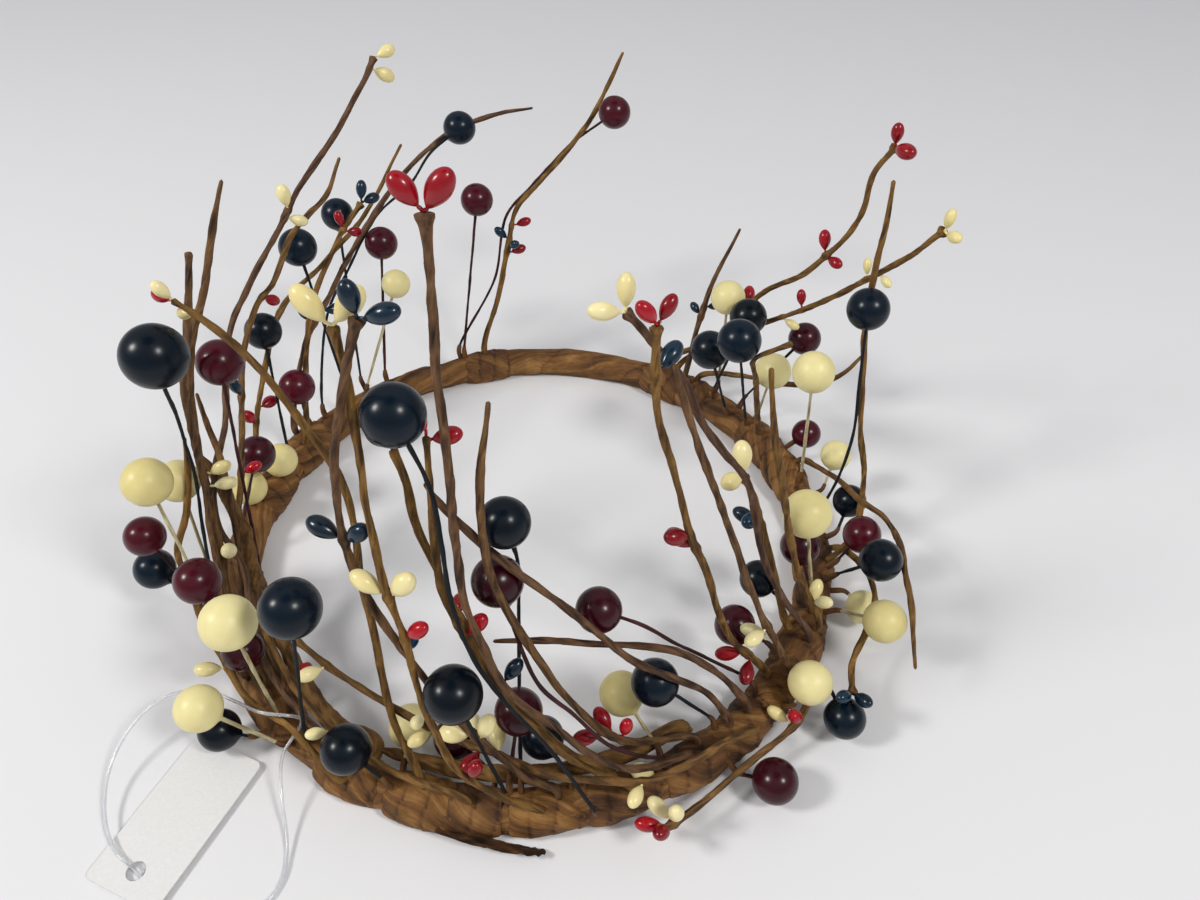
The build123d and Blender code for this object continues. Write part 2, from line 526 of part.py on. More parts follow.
def settle_berries(obstacles):
    """Middles and sizes of the berries, moved off each other and off all else."""
    rows = [(region, row) for region, table in berry_shares.items() for row in table]
    sizes = [berry_size * row[4] for region, row in rows]
    balls = np.array([(*place(*row[1:4]), size / 2) for (region, row), size in zip(rows, sizes)])
    lowest = tag_lift + tag_thickness + berry_room
    for _ in range(settle_rounds):
        for i in range(len(balls)):
            ball = balls[i:i + 1]
            others = np.vstack([obstacles, balls[:i], balls[i + 1:]])
            for gaps, ways in (nearest(ball, others), rope_gaps(ball)):
                if gaps[0] < berry_room:
                    balls[i, :3] += ways[0] * (berry_room - gaps[0])
            balls[i, 2] = max(balls[i, 2], balls[i, 3] + lowest)
    return [(region, row, Vector(*ball[:3]), 2 * ball[3]) for (region, row), ball in zip(rows, balls)]


def along_line(points, share):
    """Point at a share of a line's length, its way, and the number of its stretch."""
    lengths = [(b - a).length for a, b in zip(points, points[1:])]
    left = share * sum(lengths)
    for i, length in enumerate(lengths):
        if left <= length or i == len(lengths) - 1:
            way = (points[i + 1] - points[i]).normalized()
            return points[i] + way * min(left, length), way, i
        left -= length


def pip_seat(line, radii, share, turn, lean):
    """Where a pip's point sits on its twig, and the way that the pip stands."""
    spot, way, stretch = along_line(line, share)
    out = Vector(spot.X, spot.Y, 0).normalized()
    out = (out - way * out.dot(way)).normalized()
    side = out * cos(radians(turn)) + way.cross(out) * sin(radians(turn))
    heading = way * cos(radians(lean)) + side * sin(radians(lean))
    if share == 1:
        return spot + way * (radii[-1] / 2 + pip_gap) + side * radii[-1] / 2, heading
    return spot + side * (max(radii[stretch], radii[stretch + 1]) + pip_gap), heading


def place_pips(twigs, berries, tag):
    """Seat, heading and size of each pip, turned about its twig until it is clear."""
    clouds = [beads(line, girth) for spray, row, line, girth in twigs]
    balls = np.array([(*middle, size / 2) for region, row, middle, size in berries])
    placed, found, pip_balls = np.vstack([balls, tag]), [], []
    for i, (spray, row, line, girth) in enumerate(twigs):
        others = np.vstack(clouds[:i] + clouds[i + 1:])
        for colour, share, turn, lean, size_share in row[4]:
            for swing in pip_swings:
                base, heading = pip_seat(line, girth, share, turn + swing, lean + abs(swing) / 4)
                body = np.array([(*(base + heading * pip_length * size_share * at),
                                  pip_width * size_share * wide) for at, wide in pip_body_shares])
                gap = min(nearest(body, np.vstack([others, placed]))[0].min(),
                          nearest(body[2:], clouds[i])[0].min(), rope_gaps(body)[0].min(),
                          (body[:, 2] - body[:, 3]).min())
                if gap > pip_room:
                    placed = np.vstack([placed, body])
                    pip_balls.append(body)
                    found.append((spray, colour, base, heading, size_share))
                    break
            else:
                print("no room for a pip", spray, row[0], colour, share)
    return found, np.vstack(pip_balls)


def wire_line(point, normal, middle, size, led):
    """Line of a wire from its seat to the bottom of its bore, bent once if there is room."""
    bend = point + normal * wire_stub
    start = point + normal * fit_gap
    depth = size / 2 - bore_depth + bore_gap
    if led:
        passed = [place(*step) for step in led[0]]
        return [start, bend] + passed + [bore_end(passed[-1], middle, size)]
    if (middle - bend).length < size / 2 + wire_stub / 2:
        way = (middle - point).normalized()
        tilt = radians(way.get_angle(normal))
        return [point + way * (fit_gap / cos(tilt) + berry_wire / 2 * tan(tilt)),
                middle - way * depth]
    way = (middle - bend).normalized()
    if way.get_angle(normal) < least_bend:
        return [start, middle - (middle - start).normalized() * depth]
    return [start, bend, middle - way * depth]


def bore_end(last, middle, size):
    """End of a wire that goes into its berry straight from its last bend."""
    return middle - (middle - last).normalized() * (size / 2 - bore_depth + bore_gap)


def ease_wire(line, middle, size, balls):
    """Wire that is led past points, with these pushed off all that it would touch."""
    for _ in range(spread_rounds):
        moved = False
        for k in range(2, len(line) - 1):
            near = beads(line[k - 1:k + 2], [berry_wire / 2] * 3)
            gaps, ways = nearest(near, balls)
            worst = gaps.argmin()
            if gaps[worst] < wire_ease:
                line[k] += Vector(*ways[worst]) * (wire_ease - gaps[worst])
                moved = True
        line[-1] = bore_end(line[-2], middle, size)
        if not moved:
            break
    return line


def route_wires(berries, obstacles):
    """Line of each berry's wire, from the free seat nearest to its chosen root."""
    balls = np.array([(*middle, size / 2) for region, row, middle, size in berries])
    moves = sorted(((step, roll) for step in seat_steps for roll in seat_rolls),
                   key=lambda move: abs(move[0]) + abs(move[1]) / 6)
    placed, lines = obstacles, []
    for i, (region, row, middle, size) in enumerate(berries):
        others = np.vstack([balls[:i], balls[i + 1:]])
        best = (-hoop_radius, None, None)
        for step, turn in moves:
            point, normal = seat(row[5] + step, row[6] + turn)
            line = wire_line(point, normal, middle, size, row[7:])
            if row[7:]:
                line = ease_wire(line, middle, size, np.vstack([placed, others]))
            last = line[-1] - line[-2]
            cloud = beads(line, [berry_wire / 2] * len(line))
            free = cloud[int(wire_stub / 2 / bead_spacing):]
            gap = min(nearest(cloud, placed)[0].min(), nearest(cloud, others)[0].min(),
                      rope_gaps(free)[0].min())
            sharp = (line[1] - line[0]).get_angle(last) if len(line) > 2 else 0
            tilt = (line[1] - line[0]).get_angle(normal)
            if sharp < sharpest_bend and tilt < most_tilt and clear_of_ties(row[5] + step):
                best = max(best, (gap, line, cloud), key=lambda found: found[0])
                if gap > wire_room:
                    break
        else:
            print("tight seat for a wire", region, row, round(best[0], 2))
        placed = np.vstack([placed, best[2]])
        lines.append(best[1])
    return lines


def twig(line, girth):
    """Rod with a drawn-in tip."""
    tip = girth[-1] / 2
    return rod(line + [line[-1] + way_at(line, len(line) - 1) * tip], girth + [tip])


def rod(points, girth):
    """Tapered round rod along a line of points."""
    side = way_at(points, 0).cross(Vector(0, 1, 0)).normalized()
    rings = []
    for i, radius in enumerate(girth):
        way = way_at(points, i)
        side = (side - way * side.dot(way)).normalized()
        rings.append(Wire.make_circle(radius, Plane(origin=points[i], x_dir=side, z_dir=way)))
    return Solid.make_loft(rings, ruled=True)


def pip(base, heading, size_share):
    """Teardrop that stands on its point."""
    long, wide = pip_length * size_share, pip_width * size_share
    flank = Bezier((0, 0, 0), (wide * .36, 0, long * .16), (wide * .88, 0, long), (0, 0, long))
    outline = make_face([flank, Line((0, 0, long), (0, 0, 0))])
    return Plane(origin=base, z_dir=heading) * revolve(outline, Axis.Z)


def berry(middle, size, line):
    """Ball with a blind hole for its wire."""
    deep = bore_depth + cut_extra
    hole = Pos(0, 0, bore_depth - size / 2 - deep / 2) * Cylinder(berry_wire / 2 + bore_gap, deep)
    return Plane(origin=middle, z_dir=line[-1] - line[-2]) * (Sphere(size / 2) - hole)


def berry_stem(line):
    """Thin wire, bent once above its seat, or led along a twig."""
    if len(line) > 3:
        return rod(line, [berry_wire / 2] * len(line))
    path = Line(*line) if len(line) == 2 else None
    if len(line) == 3:
        first, last = line[1] - line[0], line[2] - line[1]
        reach = wire_bend_share * min(first.length, last.length)
        path = FilletPolyline(*line, radius=min(wire_bend, reach / tan(radians(
            first.get_angle(last) / 2))))
    return sweep(Plane(origin=path @ 0, z_dir=path % 0) * Circle(berry_wire / 2), path)


def tag_middle():
    """Middle of the card, from its hole."""
    hole = outward(tag_angle) * hoop_radius * tag_reach_share
    return hole + outward(tag_heading) * (tag_length / 2 - tag_hole_inset)


def hang_tag():
    """Blank card with a hole for the loop."""
    card = RectangleRounded(tag_length, tag_width, tag_corner)
    card -= Pos(tag_hole_inset - tag_length / 2, 0) * Circle(tag_hole / 2)
    flat = Pos(*tag_middle()) * Rot(0, 0, tag_heading) * card
    return Pos(0, 0, tag_lift) * extrude(flat, tag_thickness)


def tag_loop():
    """Clear cord from one side of the catch to the other: straight runs and wide arcs."""
    points = [Vector(*p) for p in loop_route]
    radii = []
    for a, b, c in zip(points, points[1:], points[2:]):
        half_turn = radians((b - a).get_angle(c - b) / 2)
        radii.append(run_share * min((b - a).length, (c - b).length) / tan(half_turn))
    path = FilletPolyline(*points, radius=radii)
    tube = sweep(Plane(origin=path @ 0, z_dir=path % 0) * Circle(loop_thickness / 2), path)
    print("loop bend radii", [round(r, 1) for r in radii])
    print("loop length", round(path.length, 1), "volume over section times length",
          round(tube.volume / (pi * loop_thickness ** 2 / 4 * path.length), 4))
    return tube


def loop_catch():
    """Small barrel between the two ends of the loop."""
    first, last = Vector(*loop_route[0]), Vector(*loop_route[-1])
    barrel = Cylinder(catch_thickness / 2, (last - first).length - 2 * catch_gap)
    return Plane(origin=(first + last) / 2, z_dir=last - first) * barrel


def tag_beads():
    """Balls that stand in for the card."""
    steps = np.arange(0, tag_width / 2, 1 / 2 * tag_width / 6)
    rows = []
    for across in np.concatenate([-steps[:0:-1], steps]):
        side = outward(tag_heading + 90) * across
        ends = [tag_middle() + side + outward(tag_heading) * tag_length / 2 * end
                + Vector(0, 0, tag_lift + tag_thickness / 2) for end in (-1, 1)]
        rows.append(beads(ends, [tag_thickness / 2] * 2))
    return np.vstack(rows)


def save(name, pieces):
    """One file per node, with one or more separate solids."""
    solids = [solid for piece in pieces for solid in piece.solids()]
    shape = solids[0] if len(solids) == 1 else Compound(solids)
    shape.label = name
    export_step(shape, "parts/" + name + ".step")
    print(name, len(solids))


def main():
    os.makedirs("parts", exist_ok=True)
    twigs = spread_twigs()
    clouds = [beads(line, girth) for spray, row, line, girth in twigs]
    loop = beads([Vector(*p) for p in loop_route], [loop_thickness / 2] * len(loop_route))
    fixed = np.vstack(clouds + [loop, tag_beads()])
    berries = settle_berries(fixed)
    pips, pip_balls = place_pips(twigs, berries, np.vstack([loop, tag_beads()]))
    wires = route_wires(berries, np.vstack([fixed, pip_balls]))

    save("core_hoop", [core_hoop()])
    save("ring_wrap", [ring_wrap()])
    roots = [(*row[:2], row[3]) for spray, row, line, girth in twigs]
    for region, angles in tie_angles.items():
        save(region + "_ties", [tie(angle, [root for root in roots
                                            if abs(root[0] - angle) < tie_reach()])
                                for angle in angles])
    for name in twig_shares:
        save(name, [twig(line, girth) for spray, row, line, girth in twigs if spray == name])
    for region, sprays in pip_regions.items():
        for colour in ("red", "cream", "navy"):
            chosen = [pip(*found[2:]) for found in pips
                      if found[0] in sprays and found[1] == colour]
            if chosen:
                save(region + "_" + colour + "_pips", chosen)
    for region in berry_shares:
        for colour in ("navy", "cream", "burgundy"):
            chosen = [(middle, size, line) for (place_name, row, middle, size), line
                      in zip(berries, wires) if place_name == region and row[0] == colour]
            save(region + "_" + colour + "_berries", [berry(*found) for found in chosen])
            save(region + "_" + colour + "_wires", [berry_stem(found[2]) for found in chosen])
    save("hang_tag", [hang_tag()])
    save("tag_loop", [tag_loop()])
    save("loop_catch", [loop_catch()])


main()
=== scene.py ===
# %% [markdown]
# # A candle ring of paper-wrapped twigs and lacquered berries
#
# The real thing is made by hand. A wire hoop is wound with brown crepe paper tape, twigs of
# wire and tape are bound on with short bands, and berries on thin wires are tucked in between.
# A CAD model gives the place of every piece. It could be rendered as it is, but its rods are
# plain and its tape has no folds. So this lesson keeps the places and dresses each piece with
# the shape and finish of the real one.

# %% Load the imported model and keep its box
import math

import bpy
import numpy as np
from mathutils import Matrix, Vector


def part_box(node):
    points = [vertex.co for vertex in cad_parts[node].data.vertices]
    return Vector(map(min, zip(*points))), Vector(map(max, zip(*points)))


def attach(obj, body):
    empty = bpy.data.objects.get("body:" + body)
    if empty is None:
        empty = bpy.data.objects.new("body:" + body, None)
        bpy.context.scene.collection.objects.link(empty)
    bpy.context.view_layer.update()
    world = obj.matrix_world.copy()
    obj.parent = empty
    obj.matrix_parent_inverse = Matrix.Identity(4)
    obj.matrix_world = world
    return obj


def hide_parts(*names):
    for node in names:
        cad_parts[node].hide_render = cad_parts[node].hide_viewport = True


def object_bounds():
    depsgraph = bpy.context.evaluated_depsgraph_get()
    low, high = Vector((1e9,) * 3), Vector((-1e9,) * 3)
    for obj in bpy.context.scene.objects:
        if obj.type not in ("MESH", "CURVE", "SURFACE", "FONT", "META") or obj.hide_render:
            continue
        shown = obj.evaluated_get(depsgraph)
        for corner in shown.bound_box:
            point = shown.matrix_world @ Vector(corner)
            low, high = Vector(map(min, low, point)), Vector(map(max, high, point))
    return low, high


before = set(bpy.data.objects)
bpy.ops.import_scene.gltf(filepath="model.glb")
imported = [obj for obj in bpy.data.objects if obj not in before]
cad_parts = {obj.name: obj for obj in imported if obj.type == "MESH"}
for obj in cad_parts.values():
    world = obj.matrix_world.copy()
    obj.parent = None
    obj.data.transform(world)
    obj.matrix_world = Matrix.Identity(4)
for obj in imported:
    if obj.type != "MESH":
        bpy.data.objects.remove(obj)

MM = 0.001
cad_box = [list(corner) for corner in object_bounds()]
rng = np.random.default_rng(7)
cad_size = [round(side / MM) for side in np.subtract(cad_box[1], cad_box[0])]
print(len(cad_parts), "nodes in", cad_size, "mm")

# %% [markdown]
# ## Camera
#
# A photograph from a hand's reach has strong perspective: near berries look twice as large as
# far ones. A long lens from far away would give the right angle but the wrong sizes. So the
# camera stands about 25 cm from the middle of the ring and looks down at 44 degrees with a
# wide 27 mm lens, as the photograph does.

# %% Place the camera
looks_down = 44.2
camera_data = bpy.data.cameras.new("camera")
camera_data.sensor_width = 36
camera_data.lens = 27
camera_data.clip_start = 0.01
camera = bpy.data.objects.new("camera", camera_data)
camera.location = (0.019, -0.159, 0.191)
camera.rotation_euler = (math.radians(90 - looks_down), 0, 0)
bpy.context.scene.collection.objects.link(camera)
bpy.context.scene.camera = camera
print("camera at", tuple(round(v, 3) for v in camera.location))

# %% [markdown]
# ## The tag's loop
#
# The hang tag hangs on a loop of clear nylon line, 0.7 mm thick. It goes through the card,
# once over a twig, and both ends are pushed into a small catch. It could be a mesh tube, or a
# rope left to fall by a simulation. A curve with a round bevel is simpler: it stays smooth at
# any distance, follows the route of the CAD model's tube, and knows its own length.

# %% Route of the loop
loop_width = 0.7
loop_points = [
    (-60.0, -96.4, 1.1), (-64.4, -95.3, .55), (-69.4, -92.6, .4), (-74.6, -88.1, .4),
    (-76.9, -86.4, 1.9), (-81.6, -83.4, 2.2), (-86.6, -75.8, 2.4), (-88.4, -66.0, 4.6),
    (-84.6, -57.4, 8.6), (-77.0, -52.4, 12.0), (-67.6, -53.4, 14.4), (-59.0, -57.8, 16.6),
    (-53.0, -61.2, 17.9), (-47.4, -61.2, 17.3), (-44.6, -60.2, 14.2), (-47.0, -62.6, 11.4),
    (-49.6, -66.4, 9.4), (-48.8, -73.4, 4.6), (-46.0, -81.6, 1.0), (-45.2, -89.6, .5),
    (-49.4, -95.2, .62), (-54.8, -97.0, 1.1),
]
print("loop of", len(loop_points), "points, up to", max(p[2] for p in loop_points), "mm high")

# %% Draw the loop as one smooth curve
loop_curve = bpy.data.curves.new("tag_line", "CURVE")
loop_curve.dimensions = "3D"
loop_curve.resolution_u = 12
loop_curve.bevel_depth = loop_width / 2 * MM
loop_curve.bevel_resolution = 5
spline = loop_curve.splines.new("NURBS")
spline.points.add(len(loop_points) - 1)
for point, place in zip(spline.points, loop_points):
    point.co = (*(v * MM for v in place), 1)
spline.order_u = 3
spline.use_endpoint_u = True
tag_line = bpy.data.objects.new("tag_line", loop_curve)
bpy.context.scene.collection.objects.link(tag_line)

# %% [markdown]
# ## Reading the CAD model
#
# Each CAD node holds several separate solids. To dress them, the script needs only a few
# facts of each: the middle line and thickness of a rod, or the middle and radius of a ball.
# These could be typed in by hand, but then a change in the CAD would leave the looks behind.
# So they are measured on the loaded meshes.

# %% Find which points hang together
def groups(count, edges):
    """Label of the connected group that each point belongs to."""
    label = np.arange(count)
    while True:
        low = np.minimum(label[edges[:, 0]], label[edges[:, 1]])
        new = label.copy()
        np.minimum.at(new, edges[:, 0], low)
        np.minimum.at(new, edges[:, 1], low)
        new = new[new]
        if (new == label).all():
            return label
        label = new


print("two pairs of points give labels", groups(4, np.array([(0, 1), (2, 3)])))

# %% Split a node into its solids
fewest_points = 20


def solids(node):
    """Points and edges of each solid of a node, in millimetres."""
    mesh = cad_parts[node].data
    points = np.empty(len(mesh.vertices) * 3)
    mesh.vertices.foreach_get("co", points)
    points = points.reshape(-1, 3) / MM
    edges = np.empty(len(mesh.edges) * 2, int)
    mesh.edges.foreach_get("vertices", edges)
    _, first, same = np.unique(np.round(points, 4), axis=0, return_index=True,
                               return_inverse=True)
    points, edges = points[first], same.reshape(-1)[edges.reshape(-1, 2)]
    edges = edges[edges[:, 0] != edges[:, 1]]
    label = groups(len(points), edges)
    for name in np.unique(label):
        inside = np.flatnonzero(label == name)
        if len(inside) > fewest_points:
            number = np.full(len(points), -1)
            number[inside] = np.arange(len(inside))
            yield points[inside], number[edges[label[edges[:, 0]] == name]]


print(len(list(solids("front_ties"))), "ties at the front")

# %% Measure the wire hoop
core_low, core_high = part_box("core_hoop")
core_wire = (core_high.z - core_low.z) / MM
hoop_radius = ((core_high.x - core_low.x) / MM - core_wire) / 2
hoop_height = (core_high.z + core_low.z) / 2 / MM


def from_rope(point):
    """Distance of a point from the middle line of the hoop."""
    return math.hypot(math.hypot(point[0], point[1]) - hoop_radius, point[2] - hoop_height)


print("hoop radius", round(hoop_radius, 2), "height", round(hoop_height, 2))

# %% [markdown]
# A rod in the CAD is a row of round sections joined by long edges. The edges round a section
# are short, so the points that short edges join make one ring. The middles of the rings,
# taken from the one nearest the hoop to the tip, are the middle line of the rod.

# %% Read the rods
def rod_rings(points, edges):
    """Label of the ring that each point of a rod belongs to."""
    lengths = np.linalg.norm(points[edges[:, 0]] - points[edges[:, 1]], axis=1)
    shortest = np.full(len(points), np.inf)
    np.minimum.at(shortest, edges[:, 0], lengths)
    np.minimum.at(shortest, edges[:, 1], lengths)
    short = lengths < 1.6 * np.minimum(shortest[edges[:, 0]], shortest[edges[:, 1]])
    return groups(len(points), edges[short])


def rods(node):
    """Middle line and radii of each rod of a node, root first."""
    found = []
    for points, edges in solids(node):
        ring = rod_rings(points, edges)
        names = np.unique(ring)
        middles = {n: points[ring == n].mean(axis=0) for n in names}
        radii = {n: np.linalg.norm(points[ring == n] - middles[n], axis=1).mean() for n in names}
        links = {n: set() for n in names}
        for a, b in ring[edges]:
            if a != b:
                links[a].add(b)
                links[b].add(a)
        ends = [n for n in names if len(links[n]) == 1]
        walk = [min(ends, key=lambda n: from_rope(middles[n]))]
        while following := [n for n in links[walk[-1]] if n not in walk]:
            walk.append(following[0])
        found.append((np.array([middles[n] for n in walk]), np.array([radii[n] for n in walk])))
    return found


twig_rods = {name: rods(name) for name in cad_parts
             if name.endswith("_spray") or name == "side_twigs"}
wire_rods = {name: rods(name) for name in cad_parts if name.endswith("_wires")}
print(sum(map(len, twig_rods.values())), "twigs,", sum(map(len, wire_rods.values())), "wires")

# %% [markdown]
# A berry in the CAD is a ball with a hole bored for its wire. The corners of its box give the
# middle, and most of its points lie one radius from there. The few that lie deeper are in the
# hole, so they show the way to it.

# %% Read the berries
def balls(node):
    """Middle, radius and the way to the wire's hole of each ball of a node."""
    found = []
    for points, _ in solids(node):
        middle = (points.min(axis=0) + points.max(axis=0)) / 2
        reach = np.linalg.norm(points - middle, axis=1)
        radius = np.percentile(reach, 90)
        bore = points[reach < 0.9 * radius].mean(axis=0) - middle
        found.append((middle, radius, bore / np.linalg.norm(bore)))
    return found


berries = {name: balls(name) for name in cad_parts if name.endswith("_berries")}
print(sum(map(len, berries.values())), "berries")

# %% [markdown]
# A pip is a small egg that can point anywhere. Its longest direction comes out of the spread
# of its points, as the first axis of a singular value decomposition. Its foot, where it is
# glued on, is the more slender end.

# %% Read the pips
def pip_shape(points):
    """Foot, axis, length and radius of a CAD pip."""
    middle = points.mean(axis=0)
    _, _, axes = np.linalg.svd(points - middle, full_matrices=False)
    axis = axes[0]
    height = (points - middle) @ axis
    spread = np.linalg.norm(points - middle - height[:, None] * axis, axis=1)
    low, high = height.min(), height.max()
    near_low = spread[height < low + 0.2 * (high - low)].max()
    near_high = spread[height > high - 0.2 * (high - low)].max()
    if near_low > near_high:
        axis, low, high = -axis, -high, -low
    return middle + axis * low, axis, high - low, spread.max()


pips = {name: [pip_shape(points) for points, _ in solids(name)]
        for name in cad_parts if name.endswith("_pips")}
pip_feet = np.array([pip[0] for found in pips.values() for pip in found])
print(len(pip_feet), "pips")

# %% [markdown]
# ## Surfaces from rows of points
#
# Paper folds and thick lacquer are never quite regular, yet they have no sharp jumps. Blender's
# Displace modifier with a noise texture could roughen a plain tube, but its folds don't follow
# the winding. Here each point of a surface is worked out, so noise can be laid along the tape.

# %% Smooth random values
def soft_noise(points, size, seed=0):
    """Smooth random values from -1 to 1 that change over a distance of size."""
    spots = np.asarray(points, float) / size + 31.7 * (seed + 1)
    base = np.floor(spots).astype(np.int64)
    blend = spots - base
    blend = blend * blend * (3 - 2 * blend)
    total = np.zeros(spots.shape[:-1])
    for corner in np.ndindex(2, 2, 2):
        x, y, z = np.moveaxis(base + corner, -1, 0)
        # Large odd factors scatter the corner's place into a number that looks random.
        mixed = (x * 73856093 ^ y * 19349663 ^ z * 83492791) & 0xffffffff
        mixed = (mixed ^ (mixed >> 13)) * 1274126177 & 0xffffffff
        share = np.prod(np.where(corner, blend, 1 - blend), axis=-1)
        total += share * ((mixed >> 8) / 2 ** 23 - 1)
    return total


print("noise at three pips", soft_noise(pip_feet[:3], 5.0).round(2))

# %% [markdown]
# Nearly every piece here is round and long or round and short, so one builder serves them all.
# It takes rings of points, joins each ring to the next, and a ring that is drawn together to
# almost nothing closes an end. Each point also carries three things for its material: painted
# shade, which is low in a crease and high on a ridge and is painted into the colour as shade
# and light, tint, which differs from piece to piece, and weave, its place on the paper.

# %% Build a piece from rings of points
def ring_faces(rows, sides, start):
    """Quads between rows of points that go all the way round."""
    i, j = np.meshgrid(np.arange(rows - 1), np.arange(sides), indexing="ij")
    k = (j + 1) % sides
    quads = np.stack([i * sides + j, i * sides + k, (i + 1) * sides + k, (i + 1) * sides + j], -1)
    return quads.reshape(-1, 4) + start


def add_piece(name, blocks, material, replaced=(), closed=False):
    """One object made of blocks of rings, given as (points, painted shade, tint, weave) arrays."""
    points, faces, painted_shades, tints, weaves, start = [], [], [], [], [], 0
    for rings, painted_shade, tint, weave in blocks:
        rows, sides = rings.shape[:2]
        points.append(rings.reshape(-1, 3))
        painted_shades.append(np.broadcast_to(painted_shade, (rows, sides)).reshape(-1))
        tints.append(np.full(rows * sides, tint))
        weaves.append(weave.reshape(-1, 3))
        faces.append(ring_faces(rows, sides, start))
        if closed:
            last, first = start + (rows - 1) * sides, start
            j, k = np.arange(sides), (np.arange(sides) + 1) % sides
            faces.append(np.stack([last + j, last + k, first + k, first + j], -1))
        start += rows * sides
    mesh = bpy.data.meshes.new(name)
    mesh.from_pydata(np.concatenate(points) * MM, [], np.concatenate(faces).tolist())
    for key, values in (("painted_shade", painted_shades), ("tint", tints)):
        mesh.attributes.new(key, "FLOAT", "POINT").data.foreach_set(
            "value", np.concatenate(values).astype(np.float32))
    mesh.attributes.new("weave", "FLOAT_VECTOR", "POINT").data.foreach_set(
        "vector", np.concatenate(weaves).astype(np.float32).reshape(-1))
    mesh.shade_smooth()
    mesh.materials.append(material)
    piece = bpy.data.objects.new(name, mesh)
    bpy.context.scene.collection.objects.link(piece)
    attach(piece, "root")
    if replaced:
        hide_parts(*replaced)
    print(name, "of", len(blocks), "parts and", len(mesh.polygons), "faces")


print("three rings of eight points give", len(ring_faces(3, 8, 0)), "faces")

# %% [markdown]
# The CAD's twigs and wires have straight stretches between their bends. A real wire bends in
# soft curves. Blender could smooth them with a Bezier curve, but the rings are needed as
# numbers. So a smooth line is drawn through the points here, and rings are set across it.

# %% Draw a smooth line through points
def smooth_line(points, radii, spacing):
    """Evenly spaced points on a smooth curve through the given ones, with their radii."""
    runs = np.linalg.norm(np.diff(points, axis=0), axis=1)
    places = np.concatenate([[0], np.cumsum(np.sqrt(runs))])
    slopes = np.gradient(points, places, axis=0)
    spots = np.linspace(0, places[-1], max(8, int(runs.sum() / spacing * 2)))
    k = np.clip(np.searchsorted(places, spots, side="right") - 1, 0, len(runs) - 1)
    width = np.diff(places)[k]
    t = ((spots - places[k]) / width)[:, None]
    width = width[:, None]
    begin, leave = 2 * t ** 3 - 3 * t ** 2 + 1, (t ** 3 - 2 * t ** 2 + t) * width
    end, arrive = 3 * t ** 2 - 2 * t ** 3, (t ** 3 - t ** 2) * width
    line = begin * points[k] + leave * slopes[k] + end * points[k + 1] + arrive * slopes[k + 1]
    along = np.concatenate([[0], np.cumsum(np.linalg.norm(np.diff(line, axis=0), axis=1))])
    even = np.linspace(0, along[-1], max(4, int(along[-1] / spacing)))
    line = np.stack([np.interp(even, along, line[:, axis]) for axis in range(3)], -1)
    girth = np.interp(np.interp(even, along, spots), places, radii)
    return line, girth, even


first_twig, _, _ = smooth_line(*twig_rods["left_spray"][0], 0.4)
print("the first twig on the left has", len(first_twig), "points")

# %% Set rings across a line
def frames(line):
    """Two unit vectors across a line at each of its points, turning as little as they can."""
    ways = np.gradient(line, axis=0)
    ways /= np.linalg.norm(ways, axis=1)[:, None]
    side = np.cross(ways[0], (0.3, 0.5, 0.8))
    sides = []
    for way in ways:
        side = side - way * side.dot(way)
        side /= np.linalg.norm(side)
        sides.append(side)
    sides = np.array(sides)
    return sides, np.cross(ways, sides)


def rings_along(line, radii):
    """Rings of points round a line. radii has one row of values for each of its points."""
    across, over = frames(line)
    angle = np.linspace(0, 2 * math.pi, radii.shape[1], endpoint=False)
    return (line[:, None] + across[:, None] * (radii * np.cos(angle))[..., None]
            + over[:, None] * (radii * np.sin(angle))[..., None])


print("its rings make a grid of", rings_along(first_twig, np.ones((len(first_twig), 20))).shape)

# %% [markdown]
# ## Materials
#
# A colour is written here as sRGB hex, as in a paint chart, and one function turns it to the
# linear values that a shader needs. Nodes could be placed one by one in the Shader Editor. A
# small function that adds any node with its settings and links keeps each material readable.

# %% Colour and node helpers
def colour(text):
    """Linear colour from an sRGB hex value."""
    parts = [int(text[i:i + 2], 16) / 255 for i in (1, 3, 5)]
    return [*(p / 12.92 if p <= 0.04045 else ((p + 0.055) / 1.055) ** 2.4 for p in parts), 1]


def add_node(tree, kind, settings=(), links=(), stops=()):
    """A node with its settings, (input, output socket) links and (place, hex) colour stops."""
    node = tree.nodes.new(kind)
    for key, value in dict(settings).items():
        if isinstance(key, str) and hasattr(node, key):
            setattr(node, key, value)
        else:
            node.inputs[key].default_value = value
    for key, socket in links:
        tree.links.new(socket, node.inputs[key])
    for number, (place, text) in enumerate(stops):
        elements = node.color_ramp.elements
        element = elements[number] if number < 2 else elements.new(place)
        element.position, element.color = place, colour(text)
    return node


def new_material(name):
    """A material whose shader is a Principled BSDF."""
    material = bpy.data.materials.new(name)
    material.use_nodes = True
    return material, material.node_tree, material.node_tree.nodes["Principled BSDF"]


print("mid grey #808080 is", round(colour("#808080")[0], 3), "as a linear value")

# %% [markdown]
# ** Crepe paper tape** is soft brown paper with fine fibres along it. To the eye it is matt,
# lighter where it bulges and nearly black in its folds. That light and shade is painted into
# its colour here: a painted shade value on the mesh darkens the folds and lap edges and
# lightens the ridges, and stains and fibres are added to it. No two rolls have the same dye:
# some twigs are olive brown, some plum brown. A picture of paper could be wrapped on, but it
# would show a seam and repeat. So noise draws it. The weave squeezes places along the tape,
# so that the fibres come out long and thin. Real ones are about 0.05 mm wide, too fine to
# show, and are drawn 0.35 mm wide.

# %% Crepe paper tape
fibre_mm, crease_mm, stain_mm = 0.35, 1.05, 7
# Where the four colours sit on the sum of painted shade, stain and fibre.
crepe_tones = (0.66, 0.93, 1.18, 1.42)


